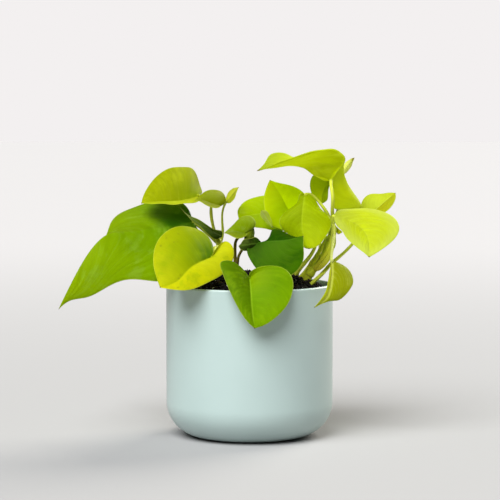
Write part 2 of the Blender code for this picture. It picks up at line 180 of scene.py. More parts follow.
def spline(points, at):
    # natural cubic spline through the points, read at shares of its chord length
    points = np.asarray(points, float)
    count = len(points)
    spans = np.linalg.norm(np.diff(points, axis=0), axis=1)
    knots = np.concatenate([[0.0], np.cumsum(spans)]) / spans.sum()
    spans = np.diff(knots)
    slopes = np.diff(points, axis=0) / spans[:, None]
    matrix = np.eye(count)
    inner = np.arange(1, count - 1)
    matrix[inner, inner - 1] = spans[:-1]
    matrix[inner, inner] = 2 * (spans[:-1] + spans[1:])
    matrix[inner, inner + 1] = spans[1:]
    pull = np.zeros_like(points)
    pull[1:-1] = 6 * np.diff(slopes, axis=0)
    bends = np.linalg.solve(matrix, pull)
    at = np.clip(np.asarray(at, float), 0, 1)
    i = np.clip(np.searchsorted(knots, at, side="right") - 1, 0, count - 2)
    before, after, span = (knots[i + 1] - at)[:, None], (at - knots[i])[:, None], spans[i][:, None]
    cubic = (bends[i] * before**3 + bends[i + 1] * after**3) / (6 * span)
    return (cubic + (points[i] / span - bends[i] * span / 6) * before
            + (points[i + 1] / span - bends[i + 1] * span / 6) * after)


def lumps(points, size, seed):
    # smooth random field of about -1 to 1: a sum of plane waves near one wavelength
    random = np.random.default_rng(seed)
    waves = 28
    directions = unit(random.normal(size=(waves, 3)))
    numbers = 2 * math.pi / (size * random.uniform(0.7, 1.6, waves))
    phases = random.uniform(0, 2 * math.pi, waves)
    return np.sin(points @ (directions * numbers[:, None]).T + phases).sum(-1) * math.sqrt(2 / waves)


def gridFaces(rows, columns, closed):
    # quads between neighbours of a rows x columns grid; closed joins its last column to its first
    across = np.arange(columns if closed else columns - 1)[None]
    down = np.arange(rows - 1)[:, None] * columns
    beside = (across + 1) % columns
    return np.stack([down + across, down + beside, down + columns + beside,
                     down + columns + across], -1).reshape(-1, 4)


def closedTube(points, poles, rings, sides):
    # quads round a tube of rings x sides points, and a fan to a pole at each end
    count = rings * sides
    here = np.arange(sides)
    beside = (here + 1) % sides
    last = count - sides
    start = np.stack([np.full(sides, count), beside, here], -1)
    end = np.stack([np.full(sides, count + 1), last + here, last + beside], -1)
    return np.concatenate([points, poles]), [gridFaces(rings, sides, True), start, end]


def addPiece(name, points, faces, material, nodes, marks=None, smooth=True):
    # points in mm, any lists of faces; marks are named values, one for each point or each corner
    mesh = bpy.data.meshes.new(name)
    mesh.from_pydata((points * mm).tolist(), [], [f for part in faces for f in part.tolist()])
    for mark, values in (marks or {}).items():
        where = "POINT" if len(values) == len(points) else "CORNER"
        layer = mesh.attributes.new(mark, "FLOAT", where)
        layer.data.foreach_set("value", np.asarray(values, np.float32))
    mesh.materials.append(material)
    mesh.polygons.foreach_set("use_smooth", [smooth] * len(mesh.polygons))
    mesh.update()
    piece = bpy.data.objects.new(name, mesh)
    bpy.context.scene.collection.objects.link(piece)
    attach(piece, "root")
    if nodes:
        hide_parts(*nodes)


def pieceName(node):
    first, *rest = node.split("_")
    return first + "".join(word.capitalize() for word in rest)


# the pot: a straight cylinder with a rounded base, glazed, on an unglazed foot ring

pot = {
    "radius": 70.0,
    "height": 128.0,
    "wall": 3.2,
    "lipRound": 1.4,
    "baseRound": 29.0,
    "innerRound": 24.0,
    "floor": 6.0,
    "footRing": (35.5, 40.5),  # inner and outer radius
    "footRise": 2.2,  # how far the middle of the underside is hollowed
    "sides": 240,
    "glaze": (176, 195, 191),
    "glazeShade": (172, 191, 187),
    "lipHighlightTint": (214, 224, 212),
    "lipHighlightShow": 0.15,
    "clay": (205, 190, 168),
    "clayShade": (176, 158, 134),
    "rough": 0.3,
    "relief": 0.12,
    "driftScale": 16,  # every scale of a pattern is in cells to the metre
    "peelScale": 260,
    "grainScale": 1400,
}


def arc(centre, radius, start, stop, count):
    # points (r, z) on a circle between two angles in degrees
    angles = np.radians(np.linspace(start, stop, count))
    return np.stack([centre[0] + radius * np.cos(angles), centre[1] + radius * np.sin(angles)], -1)


def turned(profile, sides):
    # the (r, z) profile spun round Z: each row of the grid is one profile point, r cos a, r sin a, z;
    # the first and last points lie on the axis and close it with a fan
    angles = np.linspace(0, 2 * math.pi, sides, endpoint=False)
    rings = profile[1:-1]
    points = np.stack([rings[:, :1] * np.cos(angles), rings[:, :1] * np.sin(angles),
                       np.repeat(rings[:, 1:], sides, axis=1)], -1).reshape(-1, 3)
    poles = np.array([[0, 0, profile[0][1]], [0, 0, profile[-1][1]]])
    return closedTube(points, poles, len(rings), sides)


def potProfile():
    # up from the middle of the underside over the foot ring, the outside, the lip and the inside
    radius, height, bend = pot["radius"], pot["height"], pot["baseRound"]
    inner = radius - pot["wall"]
    lip = pot["lipRound"]
    low, high = pot["footRing"]
    rise = pot["footRise"]
    floor, bendIn = pot["floor"], pot["innerRound"]
    return np.concatenate([
        np.linspace((0, rise), (low - 2.4, rise), 7),
        np.linspace((low - 1.2, rise * 0.75), (low - 0.5, 0.25), 3),
        np.linspace((low + 0.3, 0), (high, 0), 3),
        arc((radius - bend, bend), bend, -88, 0, 34),
        np.linspace((radius, bend + 3), (radius, height - lip - 1), 30),
        arc((radius - lip, height - lip), lip, 0, 90, 7),
        arc((inner + lip, height - lip), lip, 90, 180, 7),
        np.linspace((inner, height - lip - 1), (inner, floor + bendIn + 2), 24),
        arc((inner - bendIn, floor + bendIn), bendIn, 0, -90, 12),
        np.linspace((inner - bendIn - 4, floor), (0, floor), 6),
    ])


def potFinish():
    # two close glazes that drift into each other, a painted highlight along the lip, and bare clay on the
    # foot ring
    material, tree, shader = newMaterial("sageGlaze")
    spot = place(tree)
    drift = noise(tree, spot, pot["driftScale"], 2)
    peel = noise(tree, spot, pot["peelScale"], 2)
    grain = noise(tree, spot, pot["grainScale"], 3, 0.7)
    height = addNode(tree, "ShaderNodeSeparateXYZ", {}, {"Vector": spot}, 2)
    ring = distance(tree, stretched(tree, spot, (1, 1, 0)))
    foot, top = pot["footRing"][0], pot["height"]
    bare = (between(tree, height, 0.9 * mm, 0.3 * mm)
            * between(tree, ring, (foot - 2) * mm, (foot - 1) * mm))
    glaze = blend(tree, between(tree, drift, 0.3, 0.7), paint(pot["glaze"]), paint(pot["glazeShade"]))
    # painted highlight: the glaze turns paler over the top of the lip
    lip = between(tree, height, (top - 1.6) * mm, (top - 0.4) * mm)
    glaze = blend(tree, lip * pot["lipHighlightShow"], glaze, paint(pot["lipHighlightTint"]))
    clay = blend(tree, grain, paint(pot["clay"]), paint(pot["clayShade"]))
    feed(shader, {
        "Base Color": blend(tree, bare, glaze, clay),
        "Roughness": bare * 0.5 + drift * 0.06 + pot["rough"],
        "IOR": 1.5,
        "Normal": bump(tree, peel * 0.5 + bare * grain * 2, pot["relief"], 0.4 * mm),
    })
    return material


potPoints, potFaces = turned(potProfile(), pot["sides"])
addPiece("pot", potPoints, potFaces, potFinish(), ["pot"])
print("pot turned")


# the soil: a swelling bed of dark potting mix with crumbs, perlite and slivers of bark

soil = {
    "edgeHeight": 121.0,
    "crownHeight": 136.0,
    "rings": 60,
    "sides": 180,
    "lumpHeight": 0.9,
    "dark": (9, 7, 7),
    "brown": (24, 19, 16),
    "relief": 0.9,
    "coarseScale": 180,
    "fineScale": 900,
    "grainScale": 520,
    "jag": 0.22,  # how far the corners of a loose bit are moved
    "bitScale": 1500,
}

looseBits = {  # "proud" is how far a bit stands out, as a share of its size
    "soilCrumbs": {
        "count": 1500, "size": (0.5, 1.9), "stretch": (1, 1, 0.8), "proud": 0.25,
        "finish": "soilCrumb", "rough": 0.95,
        "spots": (0.0, 0.6, 1.0), "tints": ((8, 7, 7), (20, 16, 14), (46, 35, 27)),
    },
    "soilBark": {
        "count": 120, "size": (1.0, 2.2), "stretch": (2.0, 0.6, 0.45), "proud": 0.35,
        "finish": "barkSliver", "rough": 0.85,
        "spots": (0.0, 0.7, 1.0), "tints": ((30, 21, 16), (58, 42, 30), (112, 86, 60)),
    },
    "soilPerlite": {
        "count": 60, "size": (0.5, 1.2), "stretch": (1, 1, 0.9), "proud": 0.45,
        "finish": "perlite", "rough": 0.8,
        "spots": (0.0, 1.0), "tints": ((178, 176, 168), (232, 230, 224)),
    },
}


def soilHeight(radius):
    # the top falls away as (r / edge) cubed
    edge = pot["radius"] - pot["wall"] - gap
    rise = soil["crownHeight"] - soil["edgeHeight"]
    return soil["edgeHeight"] + rise * (1 - (radius / edge) ** 3)


def soilFinish():
    # near black, browner where the coarse and fine grain together stand high
    material, tree, shader = newMaterial("pottingMix")
    spot = place(tree)
    coarse = noise(tree, spot, soil["coarseScale"], 4, 0.6)
    fine = noise(tree, spot, soil["fineScale"], 3, 0.7)
    grain = cells(tree, spot, soil["grainScale"])
    feed(shader, {
        "Base Color": blend(tree, between(tree, coarse * 0.6 + fine * 0.4, 0.35, 0.72),
                            paint(soil["dark"]), paint(soil["brown"])),
        "Roughness": 0.95 - fine * 0.15,
        "Specular IOR Level": 0.15,
        "Normal": bump(tree, coarse + grain * 0.6 + fine * 0.3, soil["relief"], 1.2 * mm),
    })
    return material


def bitFinish(bits):
    # each bit carries a "shade" of its own that picks its colour
    material, tree, shader = newMaterial(bits["finish"])
    fine = noise(tree, place(tree), soil["bitScale"], 3, 0.7)
    picked = attribute(tree, "shade") * 0.8 + fine * 0.2
    feed(shader, {
        "Base Color": ramp(tree, picked, bits["spots"], bits["tints"]),
        "Roughness": bits["rough"] - fine * 0.1,
        "Specular IOR Level": 0.2,
        "Normal": bump(tree, fine, 0.5, 0.4 * mm),
    })
    return material


def makeSoil():
    # out over the pot's floor, up its wall, and in over the top: r cos a, r sin a, soilHeight(r) + lumps
    edge = pot["radius"] - pot["wall"] - gap
    bend = pot["innerRound"] - gap
    floor = pot["floor"] + gap
    low = np.concatenate([np.linspace((0, floor), (edge - bend - 4, floor), 5),
                          arc((edge - bend, floor + bend), bend, -90, 0, 14),
                          np.linspace((edge, floor + bend + 4), (edge, soil["edgeHeight"] - 1.5), 20)])
    radii = np.linspace(edge, 0, soil["rings"] + 1)
    top = np.stack([radii, soilHeight(radii)], -1)
    points, faces = turned(np.concatenate([low, top]), soil["sides"])
    radius = np.hypot(points[:, 0], points[:, 1])
    upper = points[:, 2] > soil["edgeHeight"] - 0.5
    inside = np.clip((edge - radius) / 3, 0, 1) * upper
    rough = lumps(points, 9, 1) * 0.6 + lumps(points, 3.6, 2) * 0.4
    points[:, 2] += inside * rough * soil["lumpHeight"]
    addPiece("soil", points, faces, soilFinish(), ["soil"])


def turns(random, count):
    # random rotation matrices, from unit quaternions
    w, x, y, z = unit(random.normal(size=(count, 4))).T
    return np.stack([1 - 2 * (y * y + z * z), 2 * (x * y - z * w), 2 * (x * z + y * w),
                     2 * (x * y + z * w), 1 - 2 * (x * x + z * z), 2 * (y * z - x * w),
                     2 * (x * z - y * w), 2 * (y * z + x * w),
                     1 - 2 * (x * x + y * y)], -1).reshape(-1, 3, 3)


def scatter(name, bits, seed):
    # twenty-sided lumps: an icosahedron whose corners are moved, stretched and turned at random;
    # about one in fourteen is half as big again
    random = np.random.default_rng(seed)
    count = bits["count"]
    golden = (1 + math.sqrt(5)) / 2
    flat = np.array([(0, a, b * golden) for a in (1, -1) for b in (1, -1)])
    corners = unit(np.concatenate([flat, np.roll(flat, 1, axis=1), np.roll(flat, 2, axis=1)]))
    apart = np.linalg.norm(corners[:, None] - corners[None], axis=-1)
    near = (apart < 1.2) & (apart > 0)
    a, b, c = np.nonzero(near[:, :, None] & near[:, None, :] & near[None])
    keep = (a < b) & (b < c)
    faces = np.stack([a[keep], b[keep], c[keep]], -1)
    face = corners[faces]
    outward = np.einsum("ij,ij->i", np.cross(face[:, 1] - face[:, 0], face[:, 2] - face[:, 0]),
                        face.mean(1)) > 0
    faces = np.where(outward[:, None], faces, faces[:, ::-1])
    size = random.uniform(*bits["size"], (count, 1, 1))
    size = size * (1 + (random.random((count, 1, 1)) > 0.93) * 0.5)
    body = corners[None] * (1 + random.normal(0, soil["jag"], (count, 12, 1)))
    body = body * size * np.array(bits["stretch"]) * random.uniform(0.75, 1.25, (count, 1, 3))
    body = body @ turns(random, count)
    reach = (pot["radius"] - pot["wall"] - 2.2) * np.sqrt(random.random(count))
    angle = random.uniform(0, 2 * math.pi, count)
    centre = np.stack([reach * np.cos(angle), reach * np.sin(angle), soilHeight(reach)], -1)
    centre[:, 2] += size[:, 0, 0] * bits["proud"]
    points = (body + centre[:, None]).reshape(-1, 3)
    every = (faces[None] + np.arange(count)[:, None, None] * 12).reshape(-1, 3)
    marks = {"shade": np.repeat(random.random(count), 12)}
    addPiece(name, points, [every], bitFinish(bits), [], marks, smooth=False)


makeSoil()
for seed, (name, bits) in enumerate(looseBits.items(), 11):
    scatter(name, bits, seed)
print("soil filled")


# the stems: vines, and the petiole of each leaf, on a path from the soil or the carrying stem, with
# the radii at its two ends. "nodes" are the shares of a vine's length where a leaf leaves it. A look
# has three tints from the foot up and the spots where they stand.

stems = {
    "vine_left": {
        "path": [(-16, -8, 121), (-18, -8, 135), (-21, -6, 148), (-25, -3, 158), (-26, -1, 165)],
        "radii": (2.6, 2.2), "look": "vine", "nodes": (0.18, 0.42, 0.66, 0.86),
    },
    "vine_right": {
        "path": [(40, -6, 114), (45, -6, 126), (51, -6, 136), (57, -6, 144), (62, -6, 151), (65, -6, 160),
            (68, -5, 168), (69, -5, 177)],
        "radii": (3.2, 2.4), "look": "vine", "nodes": (0.14, 0.36, 0.6, 0.84),
    },
    "vine_side": {
        "path": [(36, 2, 118), (42, 2, 130), (48, 2, 138), (55, 1, 148), (59, 1, 155), (63, 0, 162),
            (66, 0, 167)],
        "radii": (2.7, 1.8), "look": "vine", "nodes": (0.22, 0.55),
    },
    "petiole_big_left": {
        "path": [(-26, -2, 162), (-34, -1, 169), (-41, -2, 175), (-48, -4, 180)],
        "radii": (1.5, 1.2),
    },
    "petiole_upper_left": {
        "path": [(-26, -1, 165), (-30, 6, 173), (-32, 7, 184), (-33, 6, 194), (-38, 2, 200),
            (-44, 0, 202)],
        "radii": (1.0, 0.9), "look": "olive",
    },
    "petiole_small_left": {
        "path": [(-25, -3, 158), (-28, -7, 167), (-30, -9, 174), (-32, -14, 185), (-32, -17, 192),
            (-31, -20, 195)],
        "radii": (1.2, 1.0),
    },
    "petiole_tiny_upper": {
        "path": [(-26, -2, 160), (-23, 3, 168), (-23, 1, 181), (-22, 1, 191), (-20, 0, 196)],
        "radii": (1.1, 0.8),
    },
    "petiole_yellow_front": {
        "path": [(-23, -4, 155), (-27, -12, 159), (-29, -22, 158), (-30, -34, 154), (-31, -44, 153)],
        "radii": (1.4, 1.2),
    },
    "petiole_heart_front": {
        "path": [(2, -34, 117), (1, -40, 129), (0, -50, 136), (0, -66, 138)],
        "radii": (1.4, 1.2),
    },
    "petiole_dark_middle": {
        "path": [(-7, -14, 122), (-10, -15, 136), (-10, -16, 145), (-9, -19, 152), (-6, -24, 158),
            (-3, -31, 162), (0, -36, 164)],
        "radii": (1.3, 1.0), "look": "dark",
    },
    "petiole_small_middle": {
        "path": [(-10, -6, 123), (-11, -8, 140), (-12, -10, 152), (-12, -14, 160), (-10, -20, 167),
            (-5, -22, 171)],
        "radii": (1.6, 1.1), "look": "dark",
    },
    "petiole_back_middle": {
        "path": [(16, 2, 117), (17, 5, 129), (22, 10, 142), (26, 15, 155), (29, 19, 166), (31, 21, 175),
            (28, 18, 184)],
        "radii": (1.5, 1.2),
    },
    "petiole_upright_middle": {
        "path": [(35, 12, 120), (39, 12, 133), (47, 13, 144), (54, 14, 154), (56, 14, 163), (49, 11, 172),
            (39, 2, 179)],
        "radii": (1.5, 1.2),
    },
    "petiole_broad_middle": {
        "path": [(68, -4, 173), (67, -1, 181), (63, -4, 190), (57, -4, 198), (51, -5, 203),
            (46, -8, 203)],
        "radii": (1.3, 1.1),
    },
    "petiole_arched_top": {
        "path": [(67, -4, 173), (69, -6, 182), (69, -13, 193), (69, -16, 202), (68, -13, 209),
            (68, -6, 215)],
        "radii": (1.6, 1.3),
    },
    "petiole_small_right": {
        "path": [(44, -17, 120), (48, -17, 125), (53, -16, 130), (60, -12, 136), (67, -5, 143),
            (77, 5, 151), (87, 14, 160), (95, 23, 171), (100, 28, 184)],
        "radii": (1.5, 1.1),
    },
    "petiole_bright_right": {
        "path": [(68, -5, 171), (70, -11, 177), (70, -14, 182), (70, -16, 186)],
        "radii": (1.3, 1.1),
    },
    "petiole_low_right": {
        "path": [(68, -5, 170), (70, -14, 170), (69, -26, 165), (68, -37, 159), (67, -45, 154),
            (67, -50, 150)],
        "radii": (1.3, 1.1), "look": "lime",
    },
    "petiole_new_rolled": {
        "path": [(68, -4, 172), (71, 9, 179), (75, 18, 190), (78, 23, 207), (79, 20, 219)],
        "radii": (1.1, 0.9), "look": "lime",
    },
    "petiole_back_left": {
        "path": [(-18, 12, 120), (-23, 14, 136), (-35, 22, 148), (-47, 30, 154), (-55, 36, 155)],
        "radii": (1.5, 1.2),
    },
    "petiole_back_right": {
        "path": [(44, 24, 118), (47, 28, 132), (54, 32, 143), (60, 36, 153), (59, 42, 164), (51, 45, 174),
            (45, 46, 180)],
        "radii": (1.5, 1.2),
    },
    "petiole_back_low": {
        "path": [(14, 14, 119), (17, 17, 133), (20, 22, 143), (23, 30, 150)],
        "radii": (1.4, 1.2),
    },
}

stemLooks = {
    "green": {"finish": "petioleGreen", "tints": ((164, 172, 40), (200, 210, 66), (200, 210, 66))},
    "lime": {"finish": "petioleLime", "tints": ((160, 168, 60), (162, 170, 74), (176, 184, 96))},
    "olive": {"finish": "petioleOlive", "tints": ((140, 146, 40), (150, 160, 30), (146, 158, 16))},
    "dark": {"finish": "petioleDark", "tints": ((92, 70, 34), (98, 84, 30), (118, 116, 36))},
    # the vine's tints are partly painted light: made brighter to make up for the shade of the leaves
    # above
    "vine": {"finish": "vineSkin", "tints": ((104, 78, 40), (208, 216, 54), (222, 230, 76)),
             "spots": (0.08, 0.34, 1.0)},
}

stalk = {  # for every stem; swellings and hollows are (share of the radius, how far they reach)
    "step": 1.4,  # between rings
    "sides": 20,
    "look": "green",
    "spots": (0.0, 0.35, 1.0),
    "dry": (122, 84, 48),  # along the wings
    "ring": (104, 78, 40),  # under a vine's nodes
    "rough": 0.34,
    "relief": 0.35,
    "cloudScale": 90,
    "fibreScale": 1100,
    "clasp": (0.42, 7.0),  # where a petiole clasps its stem
    "knuckle": (0.28, 3.2),  # where it meets the leaf
    "groove": (0.22, 0.42),  # along its upper side, reach in radians
    "wing": (0.5, 0.24),  # on each side of the groove
    "wingTurn": 0.72,  # from the groove's middle, in radians
    "wingEnd": 0.62,  # share of the length
    "swell": (0.24, 2.6),  # of a vine at a node
    "scar": (0.1, 0.7),  # below it
    "ribs": 0.035,
}


def frames(path):
    # two unit vectors across the path: the direction it has least of, squared to it, and their cross
    ahead = unit(np.gradient(path, axis=0))
    least = np.linalg.svd(ahead - 1e-6 * np.array([0.3, 0.9, 0.2]))[2][-1]
    side = unit(least - (ahead @ least)[:, None] * ahead)
    return ahead, side, np.cross(ahead, side)


def carried(path, radii, around):
    # profile carried along a path: centre + radius * (cos a * side + sin a * up), radii is rings x sides
    ahead, side, up = frames(path)
    ring = np.cos(around)[:, None] * side[:, None] + np.sin(around)[:, None] * up[:, None]
    points = (path[:, None] + radii[..., None] * ring).reshape(-1, 3)
    poles = np.stack([path[0] - ahead[0] * radii[0].mean() * 0.5,
                      path[-1] + ahead[-1] * radii[-1].mean() * 0.5])
    return closedTube(points, poles, *radii.shape)


def stemFinish(look):
    # greener or browner by the share along the stem; the wings of the groove dry to brown
    look = {**stalk, **look}
    material, tree, shader = newMaterial(look["finish"])
    spot = place(tree)
    along, wing, mark = (attribute(tree, word) for word in ("along", "wing", "mark"))
    cloud = noise(tree, spot, look["cloudScale"], 3)
    fibre = noise(tree, stretched(tree, spot, (1, 1, 0.12)), look["fibreScale"], 3, 0.6)
    colour = ramp(tree, along + cloud * 0.16 - 0.08, look["spots"], look["tints"])
    dry = between(tree, wing + cloud * 0.3, 0.75, 1.1)
    colour = blend(tree, dry * 0.75, colour, paint(look["dry"]))
    ring = between(tree, mark, 0.25, 0.85)
    colour = blend(tree, ring * 0.55, colour, paint(look["ring"]))
    colour = blend(tree, fibre * 0.2, colour, (0.35, 0.35, 0.3, 1), "MULTIPLY")
    feed(shader, {
        "Base Color": colour,
        "Roughness": look["rough"] + fibre * 0.2 + dry * 0.25,
        "Specular IOR Level": 0.2,
        "Specular Tint": (0.85, 0.95, 0.3, 1.0),
        "Normal": bump(tree, fibre + ring * 0.5, look["relief"], 0.3 * mm),
    })
    return material


def makeStem(node, stem):
    length = np.linalg.norm(np.diff(np.array(stem["path"], float), axis=0), axis=1).sum()
    rings = int(length / stem["step"]) + 6
    share = np.linspace(0, 1, rings)
    path = spline(stem["path"], share)
    around = np.linspace(0, 2 * math.pi, stem["sides"], endpoint=False)
    inward = np.array([0, 0, 1.0]) - unit(path * (1, 1, 0)) * 0.6
    facing = math.copysign(math.pi / 2, float((frames(path)[2] * inward).sum()))
    away = np.abs(np.angle(np.exp(1j * (around - facing))))  # turn from the groove's middle
    radius = np.interp(share, (0, 1), stem["radii"])
    if "nodes" in stem:
        # a vine: ribbed, swollen at each node, with a scar ring below the swelling
        off = (share[:, None] - np.array(stem["nodes"])[None]) * length
        (swell, swellReach), (scar, scarReach) = stem["swell"], stem["scar"]
        radius = radius * (1 + (swell * bell(off, swellReach)).sum(1)
                           - (scar * bell(off + 2.4, scarReach)).sum(1))
        mark = bell(off + 2.2, 0.8).sum(1)
        shape = 1 + (stem["ribs"] * np.cos(5 * away))[None] * np.ones((rings, 1))
        wing = np.zeros_like(shape)
    else:
        # a petiole: wider where it clasps the stem, a knuckle at the leaf, wings beside a groove
        fromStart, fromEnd = share * length, (1 - share) * length
        (clasp, claspReach), (knuckle, knuckleReach) = stem["clasp"], stem["knuckle"]
        (depth, grooveReach), (height, wingReach) = stem["groove"], stem["wing"]
        radius = radius * (1 + clasp * bell(fromStart, claspReach)
                           + knuckle * bell(fromEnd, knuckleReach))
        mark = np.zeros(rings)
        taper = np.clip((stem["wingEnd"] - share) / 0.25, 0, 1) * np.clip(fromStart / 5, 0.3, 1)
        ridge = bell(away - stem["wingTurn"], wingReach)
        shape = (1 - depth * bell(away, grooveReach)[None]
                 + (0.1 + height * taper)[:, None] * ridge[None])
        wing = taper[:, None] * ridge[None]
    radii = radius[:, None] * shape
    radii = radii * (1 + 0.03 * lumps(path, 7, len(node)))[:, None]
    points, faces = carried(path, radii, around)
    marks = {"along": np.concatenate([np.repeat(share, len(around)), [0.0, 1.0]]),
             "wing": np.concatenate([wing.ravel(), [0, 0]]),
             "mark": np.concatenate([np.repeat(mark, len(around)), [0, 0]])}
    addPiece(pieceName(node), points, faces, stemFinishes[stem["look"]], [node], marks)


stemFinishes = {name: stemFinish(look) for name, look in stemLooks.items()}
for node, own in stems.items():
    makeStem(node, {**stalk, **own})
print("stems grown:", len(stems))


# the leaves and a dark sheath, then the small bracts and sheaths at the joints, which replace no node:
# a midrib from joint to tip and a margin on each side of it. "left" is to the left when the upper face
# is seen with the tip pointing away. The three tints of each half run from the joint to the tip,
# "glow" is what shines through, "over" a tint over the upper face alone.

